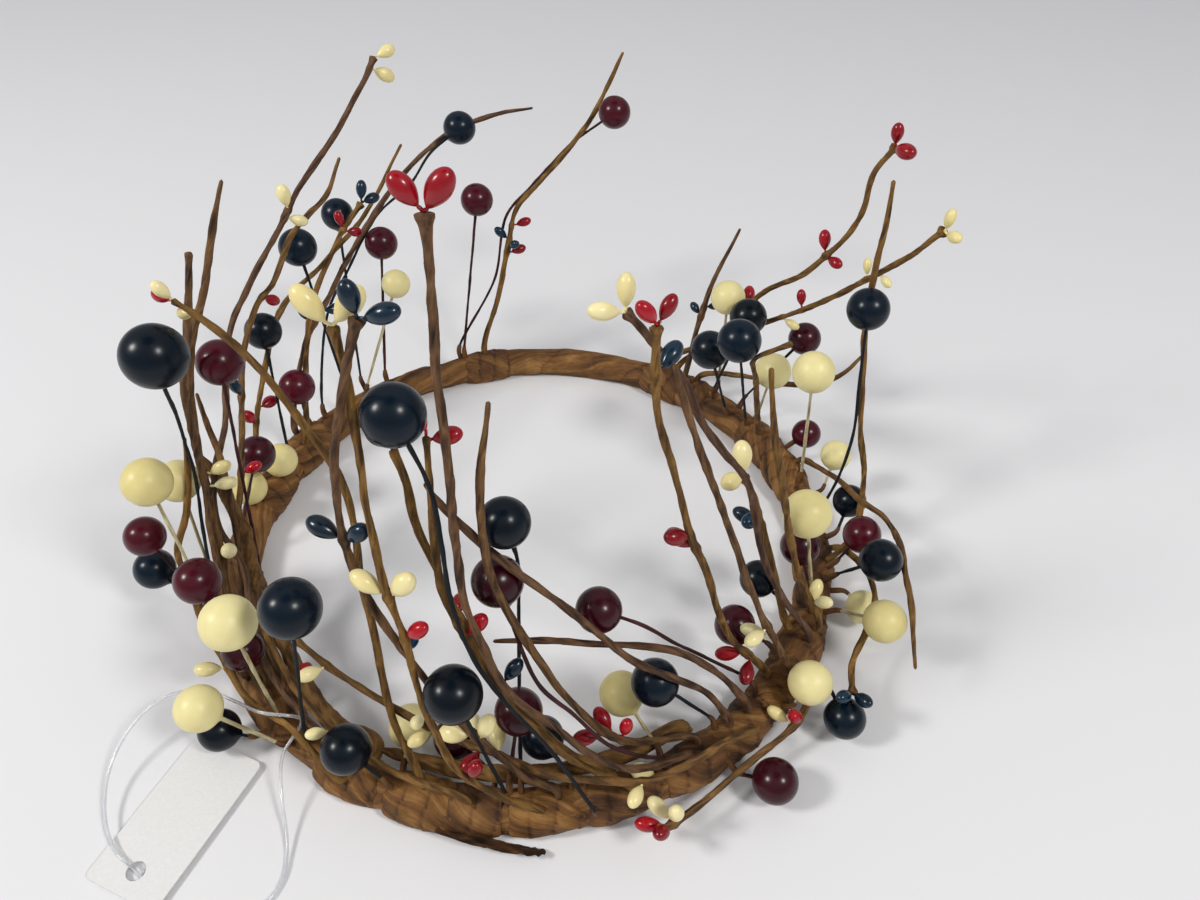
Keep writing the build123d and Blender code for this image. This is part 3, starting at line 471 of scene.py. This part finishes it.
def paper_tape(name, olive, plum):
    """Tape in two dyes, each given as four colours from painted shade in the folds to painted
    light on the bulges.
    """
    material, tree, shader = new_material(name)
    place = add_node(tree, "ShaderNodeTexCoord").outputs["Object"]
    painted_shade, tint, weave = [add_node(tree, "ShaderNodeAttribute", {"attribute_name": key})
                          for key in ("painted_shade", "tint", "weave")]
    stain = add_node(tree, "ShaderNodeTexNoise", {"Scale": 1 / (stain_mm * MM), "Detail": 5.0,
                                                  "Roughness": 0.65}, [("Vector", place)])
    fibre = add_node(tree, "ShaderNodeTexNoise", {"Scale": 1 / fibre_mm, "Detail": 4.0,
                                                  "Roughness": 0.7},
                     [("Vector", weave.outputs["Vector"])])
    # Painted shade from the mesh, dark in folds and at lap edges and light on ridges, is added to
    # stains and fibres, and the sum picks the colour.
    stain_and_painted_shade = add_node(tree, "ShaderNodeMath", {"operation": "MULTIPLY_ADD", 1: 0.55},
                       [(0, stain.outputs["Fac"]), (2, painted_shade.outputs["Fac"])])
    fibre_stain_and_shade = add_node(tree, "ShaderNodeMath", {"operation": "MULTIPLY_ADD", 1: 0.5},
                       [(0, fibre.outputs["Fac"]), (2, stain_and_painted_shade.outputs[0])])
    tone = add_node(tree, "ShaderNodeMath", {"operation": "MULTIPLY", 1: 1 / crepe_tones[-1]},
                    [(0, fibre_stain_and_shade.outputs[0])])
    places = [stop / crepe_tones[-1] for stop in crepe_tones]
    shaded_dye_ramps = [add_node(tree, "ShaderNodeValToRGB", links=[("Fac", tone.outputs[0])],
                     stops=zip(places, dye)).outputs["Color"] for dye in (olive, plum)]
    dyed_and_shaded = add_node(tree, "ShaderNodeMix", {"data_type": "RGBA"},
                    [(0, tint.outputs["Fac"]), (6, shaded_dye_ramps[0]), (7, shaded_dye_ramps[1])])
    tree.links.new(dyed_and_shaded.outputs[2], shader.inputs["Base Color"])
    crease = add_node(tree, "ShaderNodeTexNoise", {"Scale": 1 / crease_mm, "Detail": 2.0},
                      [("Vector", weave.outputs["Vector"])])
    relief = add_node(tree, "ShaderNodeMath", {"operation": "MULTIPLY_ADD", 1: 2.0},
                      [(0, crease.outputs["Fac"]), (2, fibre.outputs["Fac"])])
    bump = add_node(tree, "ShaderNodeBump", {"Strength": 0.9, "Distance": 0.3 * MM},
                    [("Height", relief.outputs[0])])
    tree.links.new(bump.outputs["Normal"], shader.inputs["Normal"])
    shader.inputs["Roughness"].default_value = 0.72
    shader.inputs["Specular IOR Level"].default_value = 0.3
    return material


# Four colours each, from painted shade in the folds through the paper's browns to painted light on
# the bulges.
wrap_tape = paper_tape("brown_crepe_tape", ("#1C1008", "#4C3117", "#7A5327", "#A67A40"),
                       ("#180E0A", "#40281C", "#66452C", "#876345"))
twig_tape = paper_tape("brown_twig_tape", ("#1F140A", "#553B19", "#84602B", "#B28C4C"),
                       ("#1A100D", "#412B20", "#654736", "#886850"))
print("tapes:", wrap_tape.name, "and", twig_tape.name)

# %% [markdown]
# The berry wires are covered in the same kind of paper, but dyed near the berry's colour, so
# that they hardly show. A smooth painted wire would catch the light too brightly. The crepe
# tape's function makes these too, with both dyes the same.

# %% Papers of the berry wires
# Four colours each, from painted shade in the folds to painted light on the ridges of the wire's
# paper.
dark = ("#040507", "#0B0E12", "#141A20", "#232B33")
cream = ("#6B5F42", "#A89A72", "#CFC49C", "#E6DEBE")
russet = ("#140706", "#2C1210", "#472020", "#603030")
wire_papers = {
    "navy": paper_tape("dark_wire_paper", dark, dark),
    "cream": paper_tape("cream_wire_paper", cream, cream),
    "burgundy": paper_tape("russet_wire_paper", russet, russet),
}
print("wire papers:", *(paper.name for paper in wire_papers.values()))

# %% [markdown]
# **Lacquer** gives the berries and pips a hard shiny coat over foam. They are dipped, so the
# coat is thick and mirrors the lamps. Navy and burgundy look nearly black but for those
# highlights, and the cream has a softer gloss. One flat colour would look like plastic beads.
# Instead the colour clouds a little, and an unevenness of the coat, about 3 mm across, keeps
# the highlights from looking machine-made.

# %% Lacquers
wave_mm = 3.0


def lacquer(name, deep, face, roughness, gloss=0.35):
    """A dipped coat that clouds from a deep colour to a lighter one."""
    material, tree, shader = new_material(name)
    place = add_node(tree, "ShaderNodeTexCoord").outputs["Object"]
    tint = add_node(tree, "ShaderNodeAttribute", {"attribute_name": "tint"}).outputs["Fac"]
    cloud = add_node(tree, "ShaderNodeTexNoise", {"Scale": 1 / (wave_mm * MM), "Detail": 4.0},
                     [("Vector", place)])
    depth = add_node(tree, "ShaderNodeMath", {"operation": "MULTIPLY_ADD", 1: 0.5},
                     [(0, cloud.outputs["Fac"]), (2, tint)])
    coat = add_node(tree, "ShaderNodeValToRGB", links=[("Fac", depth.outputs[0])],
                    stops=[(0.1, deep), (1.0, face)])
    tree.links.new(coat.outputs["Color"], shader.inputs["Base Color"])
    bump = add_node(tree, "ShaderNodeBump", {"Strength": 0.12, "Distance": 0.2 * MM},
                    [("Height", cloud.outputs["Fac"])])
    tree.links.new(bump.outputs["Normal"], shader.inputs["Normal"])
    shader.inputs["Roughness"].default_value = roughness
    shader.inputs["Specular IOR Level"].default_value = gloss
    return material


berry_coats = {
    "navy": lacquer("navy_berry_lacquer", "#01060C", "#071C2C", 0.26, gloss=0.25),
    "cream": lacquer("cream_berry_lacquer", "#D8C883", "#F3E9AE", 0.38),
    "burgundy": lacquer("burgundy_berry_lacquer", "#1B030B", "#580A1E", 0.24, gloss=0.3),
}
pip_coats = {
    "red": lacquer("red_pip_lacquer", "#64020E", "#B60A1E", 0.22, gloss=0.45),
    "cream": lacquer("cream_pip_lacquer", "#E2D08A", "#FAF0BC", 0.28, gloss=0.45),
    "navy": lacquer("navy_pip_lacquer", "#03111B", "#0C324A", 0.22, gloss=0.45),
}
print(len(berry_coats), "berry lacquers and", len(pip_coats), "pip lacquers")

# %% [markdown]
# **Card**: the tag is smooth white board, pressed from pulp. It looks matt and very slightly
# mottled. A plain white would do from afar, and a faint noise keeps it from looking like a
# sheet of light up close. Real pulp fibres are finer than the 0.5 mm that is drawn here.

# %% White card
pulp_mm = 0.5
card, tree, shader = new_material("white_card")
place = add_node(tree, "ShaderNodeTexCoord").outputs["Object"]
pulp = add_node(tree, "ShaderNodeTexNoise", {"Scale": 1 / (pulp_mm * MM), "Detail": 4.0},
                [("Vector", place)])
mottle = add_node(tree, "ShaderNodeValToRGB", links=[("Fac", pulp.outputs["Fac"])],
                  stops=[(0.3, "#DEDEDD"), (0.7, "#E5E5E4")])
tree.links.new(mottle.outputs["Color"], shader.inputs["Base Color"])
bump = add_node(tree, "ShaderNodeBump", {"Strength": 0.15, "Distance": 0.05 * MM},
                [("Height", pulp.outputs["Fac"])])
tree.links.new(bump.outputs["Normal"], shader.inputs["Normal"])
shader.inputs["Roughness"].default_value = 0.6
print(card.name, "with", len(tree.nodes), "nodes")

# %% [markdown]
# **Nylon**: the loop and its catch are drawn and moulded clear nylon, with an IOR of 1.53. To
# the eye they are a pale line with a bright edge. Pure glass would nearly vanish on a pale
# floor, so a quarter of the light stays on a faintly clouded white.

# %% Clear nylon
haze_mm = 2.0
nylon, tree, shader = new_material("clear_nylon")
place = add_node(tree, "ShaderNodeTexCoord").outputs["Object"]
haze = add_node(tree, "ShaderNodeTexNoise", {"Scale": 1 / (haze_mm * MM)}, [("Vector", place)])
milk = add_node(tree, "ShaderNodeValToRGB", links=[("Fac", haze.outputs["Fac"])],
                stops=[(0.2, "#E8ECF2"), (0.8, "#FAFBFD")])
tree.links.new(milk.outputs["Color"], shader.inputs["Base Color"])
shader.inputs["Transmission Weight"].default_value = 0.75
shader.inputs["Roughness"].default_value = 0.15
shader.inputs["IOR"].default_value = 1.53
print(nylon.name, "with", len(tree.nodes), "nodes")

# %% [markdown]
# **Steel**: the hoop is drawn wire, a plain grey metal with fine streaks from the die. It is
# hidden inside the wrap, so a metallic shader with two close greys is enough.

# %% Drawn steel
streak_mm = 0.3
steel, tree, shader = new_material("drawn_steel")
place = add_node(tree, "ShaderNodeTexCoord").outputs["Object"]
drawn = add_node(tree, "ShaderNodeTexNoise", {"Scale": 1 / (streak_mm * MM)}, [("Vector", place)])
greys = add_node(tree, "ShaderNodeValToRGB", links=[("Fac", drawn.outputs["Fac"])],
                 stops=[(0.2, "#8C8E92"), (0.8, "#A6A8AC")])
tree.links.new(greys.outputs["Color"], shader.inputs["Base Color"])
shader.inputs["Metallic"].default_value = 1.0
shader.inputs["Roughness"].default_value = 0.35
print(steel.name, "with", len(tree.nodes), "nodes")

# %% [markdown]
# ## Pieces that keep their CAD shape
#
# The tag, the catch and the hoop look right as they are: a punched card, a small moulded bead
# and a plain wire. New meshes would add nothing, so they only get their materials. The loop's
# curve takes the place of the CAD's tube.

# %% Tag, catch, hoop and loop
for node, material in (("hang_tag", card), ("loop_catch", nylon), ("core_hoop", steel)):
    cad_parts[node].data.materials.clear()
    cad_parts[node].data.materials.append(material)
loop_curve.materials.append(nylon)
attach(tag_line, "root")
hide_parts("tag_loop")
print("materials:", len(bpy.data.materials))

# %% [markdown]
# ## The wrapped hoop
#
# Tape is wound round the hoop in lapped turns. Its surface climbs a small step at each tape
# edge, leans with the winding, and crumples into folds between. The CAD has the laps as clean
# steps. A Solidify modifier on a long ribbon could wind real tape, but its turns would cut
# through each other. So the thickness of the rope is read off the CAD wrap, and the folds and
# laps are added to it as height.

# %% Measure how thick the wrap is all round
rope_sink = 0.5
wrap_points = np.concatenate([points for points, _ in solids("ring_wrap")])
wrap_angle = np.degrees(np.arctan2(wrap_points[:, 1], wrap_points[:, 0])) % 360
bins = np.arange(0, 360, 6)
tops = np.array([wrap_points[np.abs((wrap_angle - b + 180) % 360 - 180) < 4][:, 2].max()
                 for b in bins])
wrap_width = (tops + rope_sink) / 2


def rope_radius(angle):
    """Radius of the wrapped rope at an angle in degrees."""
    return np.interp(angle % 360, np.append(bins, 360), np.append(wrap_width, wrap_width[0]))


print("rope radius from", wrap_width.min().round(2), "to", wrap_width.max().round(2))

# %% [markdown]
# Folds run with the tape, so their noise is read in the weave: places on a ring that is
# squeezed to a ninth of its length and turned with the winding. Noise whose middle value is
# folded up into a ridge looks like crumpled paper.

# %% Tape wound round a stretch of the hoop
wide_fold, narrow_fold, broad_dent, lap_drift = 3.0, 1.2, 9.0, 6.0  # mm across
weave_ring = hoop_radius * 0.11


def tape_band(start, end, bulge, laps, seed, rows_per_mm=1.8, sides=96):
    """Rings of creased tape over the hoop from one angle to another, with a bulge."""
    full = abs(end - start) >= 360
    length = math.radians(abs(end - start)) * hoop_radius
    count = max(24, int(length * rows_per_mm))
    angle = np.radians(np.linspace(start, end, count, endpoint=not full))[:, None]
    around = np.linspace(0, 2 * math.pi, sides, endpoint=False)[None]
    rope = rope_radius(np.degrees(angle))
    share = (angle - angle[0]) * hoop_radius / length
    swell = bulge * (np.sin(math.pi * share).clip(0) ** 0.45 if bulge else 0)
    spots = np.stack([(hoop_radius + 4 * np.cos(around)) * np.cos(angle),
                      (hoop_radius + 4 * np.cos(around)) * np.sin(angle),
                      4 * np.sin(around) + 0 * angle], -1)
    turn = around + (5 if full else -9) * angle + 0.5 * soft_noise(spots, broad_dent, seed)
    weave = np.stack([(weave_ring + rope * np.cos(turn)) * np.cos(angle),
                      (weave_ring + rope * np.cos(turn)) * np.sin(angle), rope * np.sin(turn)], -1)
    wide = 1 - 2 * np.abs(soft_noise(weave, wide_fold, seed + 1))
    narrow = 1 - 2 * np.abs(soft_noise(weave, narrow_fold, seed + 4))
    broad = soft_noise(spots, broad_dent, seed + 2)
    wander = 0.12 * soft_noise(spots, lap_drift, seed + 5)
    phase = (share * laps + around / (2 * math.pi) + wander) % 1
    lap = np.exp(-phase * length / laps / 2.5) if bulge else np.exp(-phase * 4)
    radius = rope + swell + 0.34 * wide + 0.14 * narrow + 0.50 * broad + 0.26 * lap - 0.25
    out = hoop_radius + radius * np.sin(around)
    up = rope - rope_sink + radius * np.cos(around)
    points = np.stack([out * np.cos(angle), out * np.sin(angle), np.maximum(up, 0.02)], -1)
    # Painted shade: darker at the foot of each lap's step, where its shadow falls, and in the
    # creases, and lighter on the fold ridges.
    edge = np.exp(-(1 - phase) * length / laps / 0.5)
    painted_shade = 0.48 + 0.20 * wide + 0.12 * narrow - 0.28 * edge
    return points, painted_shade, 0.1 + 0.3 * rng.random(), weave


add_piece("crumpled_wrap", [tape_band(0, 360, 0, 17, 11)], wrap_tape,
          ["ring_wrap"], closed=True)

# %% [markdown]
# Where twigs are bound on, a few more turns of tape make a short thick band that thins out at
# both ends. A band is the same tape as the wrap over a shorter stretch, so the same function
# makes it, a little wider than the CAD tie to hide the tie's plain rim.

# %% Bands that bind the twigs
past_tie, band_bulge, band_laps = 2.5, 1.1, 3
for region in ("left", "front", "right", "back"):
    bands = []
    for points, _ in solids(region + "_ties"):
        middle = points.mean(axis=0)
        centre = np.degrees(np.arctan2(middle[1], middle[0])) % 360
        offset = (np.degrees(np.arctan2(points[:, 1], points[:, 0])) - centre + 180) % 360 - 180
        bands.append(tape_band(centre + offset.min() - past_tie, centre + offset.max() + past_tie,
                               band_bulge, band_laps, int(centre)))
    add_piece(region + "_tape_bands", bands, wrap_tape, [region + "_ties"])

# %% [markdown]
# ## Twigs
#
# Each twig is a wire with tape twisted round it. The tape's edge runs up it in a long spiral,
# and its paper gathers into lengthwise folds. A Screw modifier could twist one profile, but
# every turn would look the same. So the rings along the middle line get a twisted, slightly
# flat section, a stepped spiral, and folds and lumps from noise.

# %% Twist tape along a line
twist_run, lap_run, sway_run = 7.5, 2.4, 9  # mm along the twig for each radian of turn
fold_width, lump_length = 0.75, 2.6  # mm


def twisted(line, girth, along, seed, sides=20):
    """Radii of twisted tape along a line, its painted shade for folds and edges, and its weave."""
    angle = np.linspace(0, 2 * math.pi, sides, endpoint=False)[None]
    s, size = along[:, None], girth[:, None]
    phase = rng.random(3) * 2 * math.pi
    turn = angle - s / twist_run - 0.8 * np.sin(s / sway_run + phase[0])
    flat = 0.08 * np.cos(2 * turn)
    lap = ((angle - s / lap_run + phase[1]) / (2 * math.pi)) % 1
    weave = np.stack([s * 0.16 + 0 * angle, size * np.cos(turn), size * np.sin(turn)], -1)
    folds = 1 - 2 * np.abs(soft_noise(weave, fold_width, seed))
    lumps = soft_noise(np.stack([s, 0 * s, 0 * s], -1), lump_length, seed + 1)
    rough = flat + 0.10 * (0.5 - lap) + 0.11 * folds + 0.15 * lumps - 0.05
    # Painted shade: lighter on fold ridges, darker in the creases and just below the tape's edge.
    painted_shade = 0.46 + 0.21 * folds - 0.2 * np.exp(-(1 - lap) / 0.07)
    return size * (1 + rough), painted_shade, weave


print("the tape's edge goes round a twig once in", round(2 * math.pi * lap_run), "mm")

# %% [markdown]
# No twig is as straight as a drawn line, so each wanders by up to 0.4 mm. Where a pair of pips
# is tied on, the tape is wound over their stalks and the twig swells to a small knot. The real
# twigs are also cut off at an angle or pinched, which a tip that tapers over its last
# millimetres shows well enough.

# %% Middle lines of the twigs
grip, knot_run, knot_swell = 3.2, 1.1, 0.28  # a pip's foot this near, in mm, makes a knot
slim, wander, into_tape, broad_twig = 0.86, 0.4, 1.5, 1.5  # the CAD rods are a little stout
twig_lines = {}
for name, found in twig_rods.items():
    for number, (points, radii) in enumerate(found):
        seed = len(name) * 10 + number
        out = points[1] - points[0]
        points = points.copy()
        points[0] -= out / np.linalg.norm(out) * into_tape
        line, girth, along = smooth_line(points[:-1], radii[:-1], 0.4)
        drift = np.stack([soft_noise(line, 11.0, seed + axis) for axis in range(3)], -1)
        line = line + wander * drift * np.minimum(1, along / 12)[:, None]
        girth = slim * girth
        for foot in pip_feet:
            away = np.linalg.norm(line - foot, axis=1)
            if away.min() < grip:
                from_knot = (along - along[away.argmin()] + 0.4) / knot_run
                girth = girth * (1 + knot_swell * np.exp(-from_knot ** 2))
        girth = np.minimum(girth, radii.max() * 1.6)
        broad = girth.max() >= broad_twig
        tip = 4.0 if broad else 0.5
        if broad:
            girth = girth * (1 - 0.2 * np.clip((along - along[-1] + 12) / 8, 0, 1))
        girth = girth * (1 - 0.5 * np.clip((along - along[-1] + tip) / tip, 0, 1) ** 2)
        twig_lines[name, number] = (line, girth, along, seed)
every_twig = np.concatenate([line for line, _, _, _ in twig_lines.values()])
every_girth = np.concatenate([girth for _, girth, _, _ in twig_lines.values()])
print(len(twig_lines), "twigs, up to", round(every_twig[:, 2].max()), "mm high")

# %% [markdown]
# Each twig now has its own line and thickness. Blender could sweep a round profile along it,
# but the folds of the tape need rings of their own. A high power of a random number makes most
# twigs olive brown and a few plum brown, as in a bundle of mixed stock.

# %% Twigs
for name in twig_rods:
    blocks = []
    for (node, _), (line, girth, along, seed) in twig_lines.items():
        if node == name:
            surface, painted_shade, weave = twisted(line, girth, along, seed)
            surface[0] = surface[-1] = 0.02
            blocks.append((rings_along(line, surface), painted_shade, rng.random() ** 2.2, weave))
    add_piece(name + "_twigs", blocks, twig_tape, [name])

# %% [markdown]
# ## The torn end
#
# The last end of the wrap was torn off, not cut. It stands off the hoop at the front as a
# small flat tongue of paper with a ragged tip. A flat card with a torn outline would look cut
# out. Flat rings along a short line give it thickness and curl, and noise frays its edge.

# %% Torn end of the tape
end_points = np.array([(-15, -79.0, 3.8), (-8, -80.8, 3.0), (-1.5, -82.2, 2.3), (4.0, -83.2, 1.7),
                       (7.8, -83.6, 1.5)])
end_widths = np.array([2.0, 2.2, 2.0, 1.7, 1.3])
paper_thick, lowest = 0.14, 0.03
line, half_width, along = smooth_line(end_points, end_widths, 0.25)
angle = np.linspace(0, 2 * math.pi, 48, endpoint=False)[None]
outward = line * (1, 1, 0) / np.linalg.norm(line[:, :2], axis=1)[:, None]
flat_way = outward * 0.75 + (0, 0, 0.66)
weave = np.stack([along[:, None] * 0.2 + 0 * angle, half_width[:, None] * np.cos(angle),
                  0.2 * np.sin(angle) + 0 * along[:, None]], -1)
ragged = 1 + 0.6 * soft_noise(weave * (4, 1, 1), 0.6, 3) * (along / along[-1])[:, None] ** 2
curl = 0.5 * (half_width[:, None] * np.cos(angle) / 1.8) ** 2 + 0.12 * soft_noise(weave, 0.5, 4)
width = half_width[:, None] * ragged
width[0] = width[-1] = 0.05
rings = (line[:, None] + flat_way[:, None] * (width * np.cos(angle))[..., None]
         + outward[:, None] * (paper_thick * np.sin(angle) + curl - 0.2)[..., None])
rings[..., 2] = np.maximum(rings[..., 2], lowest)
add_piece("torn_tape_end", [(rings, 0.35 + 0.2 * soft_noise(weave, 0.5, 5), 0.4, weave)],
          wrap_tape)

# %% [markdown]
# ## Berries
#
# A berry is a foam ball dipped in lacquer. It isn't quite round, and where the wire goes in,
# the lacquer has run a little way down the wire. A UV sphere could be pushed about with
# proportional editing. Rings from pole to pole do the same for all 58, with the first pole
# where the wire goes in.

# %% Berries
dent_size, dent_depth, neck_width, neck_length = 0.8, 0.010, 0.75, 0.5


def berry_rings(middle, radius, bore, seed, rows=30, sides=40):
    """A dipped ball whose first pole is where its wire goes in."""
    fall = np.linspace(0, math.pi, rows)[:, None]
    turn = np.linspace(0, 2 * math.pi, sides, endpoint=False)[None]
    side = np.cross(bore, (0.31, 0.53, 0.79))
    side /= np.linalg.norm(side)
    over = np.cross(bore, side)
    way = (bore * np.cos(fall)[..., None] + side * (np.sin(fall) * np.cos(turn))[..., None]
           + over * (np.sin(fall) * np.sin(turn))[..., None])
    size = 0.99 + dent_depth * soft_noise(way, dent_size, seed)
    neck = np.exp(-(np.sin(fall) * radius / neck_width) ** 2) * (np.cos(fall) > 0)
    reach = radius * size + neck_length * neck
    return middle + way * reach[..., None], 0.5 + 0 * reach, 0.5 * rng.random(), way * radius


for name, found in berries.items():
    kind = name.split("_")[1]
    blocks = [berry_rings(*ball, seed) for seed, ball in enumerate(found)]
    add_piece(name + "_dipped", blocks, berry_coats[kind], [name])

# %% [markdown]
# ## Berry wires
#
# Each berry sits on a thin paper-covered wire. Its foot is bound in with a turn or two of brown
# tape, so the wire's own paper never shows on the hoop. Both are twisted paper round a line,
# as the twigs are, so the twigs' function makes them, with the tape as a short sleeve that
# thins upwards.

# %% Berry wires and the tape at their feet
sleeve_length, sleeve_thick = 5.5, 0.38
sleeves = []
for name, found in wire_rods.items():
    kind = name.split("_")[1]
    blocks = []
    for number, (points, radii) in enumerate(found):
        line, girth, along = smooth_line(points, radii, 0.5)
        surface, painted_shade, weave = twisted(line, girth, along, number + 50, sides=12)
        surface[0] = surface[-1] = 0.02
        blocks.append((rings_along(line, surface), painted_shade, rng.random(), weave))
        foot = along < sleeve_length
        thick = girth[foot] + sleeve_thick - 0.3 * (along[foot] / sleeve_length) ** 2
        surface, painted_shade, weave = twisted(line[foot], thick, along[foot], number + 90, sides=12)
        surface[-1] = 0.3
        sleeves.append((rings_along(line[foot], surface), painted_shade, rng.random(), weave))
    add_piece(name + "_covered", blocks, wire_papers[kind], [name])
add_piece("wire_foot_tape", sleeves, wrap_tape)

# %% [markdown]
# ## Pips
#
# The small pips are drawn to a stalk where they are glued to the twig, and their lacquer
# has pulled them slightly out of round. A scaled sphere has no stalk, so an egg is drawn from
# rings, with its belly past the middle. The crumpled tape is thicker in places than the CAD's
# plain rods. A pip that would sink into it is pushed out to the surface, as a glued one sits.

# %% Pips
belly, pip_slim, stalk, furthest_push = 0.56, 0.85, 0.3, 2.5


def pip_place(foot, axis, length, wide):
    """Foot of a pip once it is clear of the twigs, and the place where its stalk is glued."""
    heart = foot + axis * length * 0.55
    away = np.linalg.norm(every_twig - heart, axis=1)
    buried = every_girth + 0.75 * wide - away
    worst = buried.argmax()
    if buried[worst] > 0:
        out = heart - every_twig[worst]
        foot = foot + out / np.linalg.norm(out) * min(buried[worst], furthest_push)
    gap = np.linalg.norm(every_twig - foot, axis=1)
    return foot, every_twig[gap.argmin()] if gap.min() < grip else foot - axis * 0.4


def pip_rings(foot, axis, length, wide, seed, rows=20, sides=20):
    """An egg with a pinched stalk that reaches to the nearest twig."""
    t = np.linspace(0, 1, rows)[:, None]
    t = t ** 1.25 * (1 - t) + (1 - (1 - t) ** 1.6) * t
    below, above = ((belly - t) / belly).clip(0, 1), ((t - belly) / (1 - belly)).clip(0, 1)
    body = (1 - below ** 1.8) ** 0.85 * np.sqrt(1 - above ** 2)
    turn = np.linspace(0, 2 * math.pi, sides, endpoint=False)[None]
    radius = pip_slim * wide * body * (1 + 0.04 * np.cos(2 * turn + seed))
    radius[0], radius[-1] = stalk, 0.01
    foot, root = pip_place(foot, axis, length, wide)
    middles = np.concatenate([[root, root], foot + axis * length * t])
    radius = np.concatenate([0 * radius[:1] + 0.01, 0 * radius[:1] + stalk, radius])
    side = np.cross(axis, (0.31, 0.53, 0.79))
    side /= np.linalg.norm(side)
    over = np.cross(axis, side)
    rings = (middles[:, None] + side * (radius * np.cos(turn))[..., None]
             + over * (radius * np.sin(turn))[..., None])
    return rings, 0.5 + 0 * radius, 0.6 * rng.random(), rings


for name, found in pips.items():
    kind = name.split("_")[1]
    blocks = [pip_rings(*pip, seed) for seed, pip in enumerate(found)]
    add_piece(name + "_glazed", blocks, pip_coats[kind], [name])

# %% [markdown]
# ## Floor and light
#
# The ring stands on a plain pale board. A curved studio sweep would hide the horizon, but the
# camera looks down and never sees it, so one large flat face is enough. It is matt, and it
# keeps the soft shadows of the twigs.

# %% Floor
floor_mesh = bpy.data.meshes.new("floor")
floor_mesh.from_pydata([(-2, -2, 0), (2, -2, 0), (2, 3, 0), (-2, 3, 0)], [], [(0, 1, 2, 3)])
floor = bpy.data.objects.new("floor", floor_mesh)
bpy.context.scene.collection.objects.link(floor)
pale, tree, shader = new_material("pale_board")
shader.inputs["Base Color"].default_value = colour("#E4E4E6")
shader.inputs["Roughness"].default_value = 0.8
floor_mesh.materials.append(pale)
print("floor with material", pale.name)

# %% [markdown]
# The light is that of a room with two windows. Every berry in it carries a pair of small soft
# highlights. A sun lamp would give one hard dot, and large panels would smear across the whole
# berry. So two round area lamps, 18 and 20 cm wide and less than a metre away, stand for the
# windows.

# %% Lamps
def area_lamp(name, place, size, watts, tone="#FFFDFA"):
    """A round lamp that looks at the ring."""
    data = bpy.data.lights.new(name, "AREA")
    data.shape, data.size, data.energy, data.color = "DISK", size, watts, colour(tone)[:3]
    lamp = bpy.data.objects.new(name, data)
    lamp.location = place
    lamp.rotation_euler = (-Vector(place)).to_track_quat("-Z", "Y").to_euler()
    bpy.context.scene.collection.objects.link(lamp)
    print(name, "of", watts, "W")


area_lamp("window_left", (-0.66, -0.22, 0.68), 0.20, 4.4)
area_lamp("window_right", (0.50, -0.40, 0.76), 0.18, 3.6)

# %% [markdown]
# The room round it has a pale backdrop at the horizon, dimmer walls, a bright ceiling and a
# dark patch straight above, where no lamp hangs. An even white room would be simpler, but it
# lays a grey veil over the dark lacquer. The colours are blended by height alone, so that the
# berries mirror the same room that the camera sees.

# %% Room
world = bpy.data.worlds.new("room")
world.use_nodes = True
tree = world.node_tree
way = add_node(tree, "ShaderNodeTexCoord").outputs["Generated"]
height = add_node(tree, "ShaderNodeSeparateXYZ", links=[("Vector", way)]).outputs["Z"]
walls = add_node(tree, "ShaderNodeValToRGB", links=[("Fac", height)],
                 stops=[(0.05, "#E6E7EA"), (0.22, "#B4B6BA"), (0.949, "#F8F8FA"),
                        (0.951, "#54585E")])
tree.links.new(walls.outputs["Color"], tree.nodes["Background"].inputs["Color"])
tree.nodes["Background"].inputs["Strength"].default_value = 0.62
bpy.context.scene.world = world
bpy.context.scene.view_settings.view_transform = "Standard"
print("room of", len(walls.color_ramp.elements), "blended colours")

# %% [markdown]
# ## The loop's start
#
# The first point of the loop, in metres, is the last value of the script.

tuple(v * MM for v in loop_points[0])
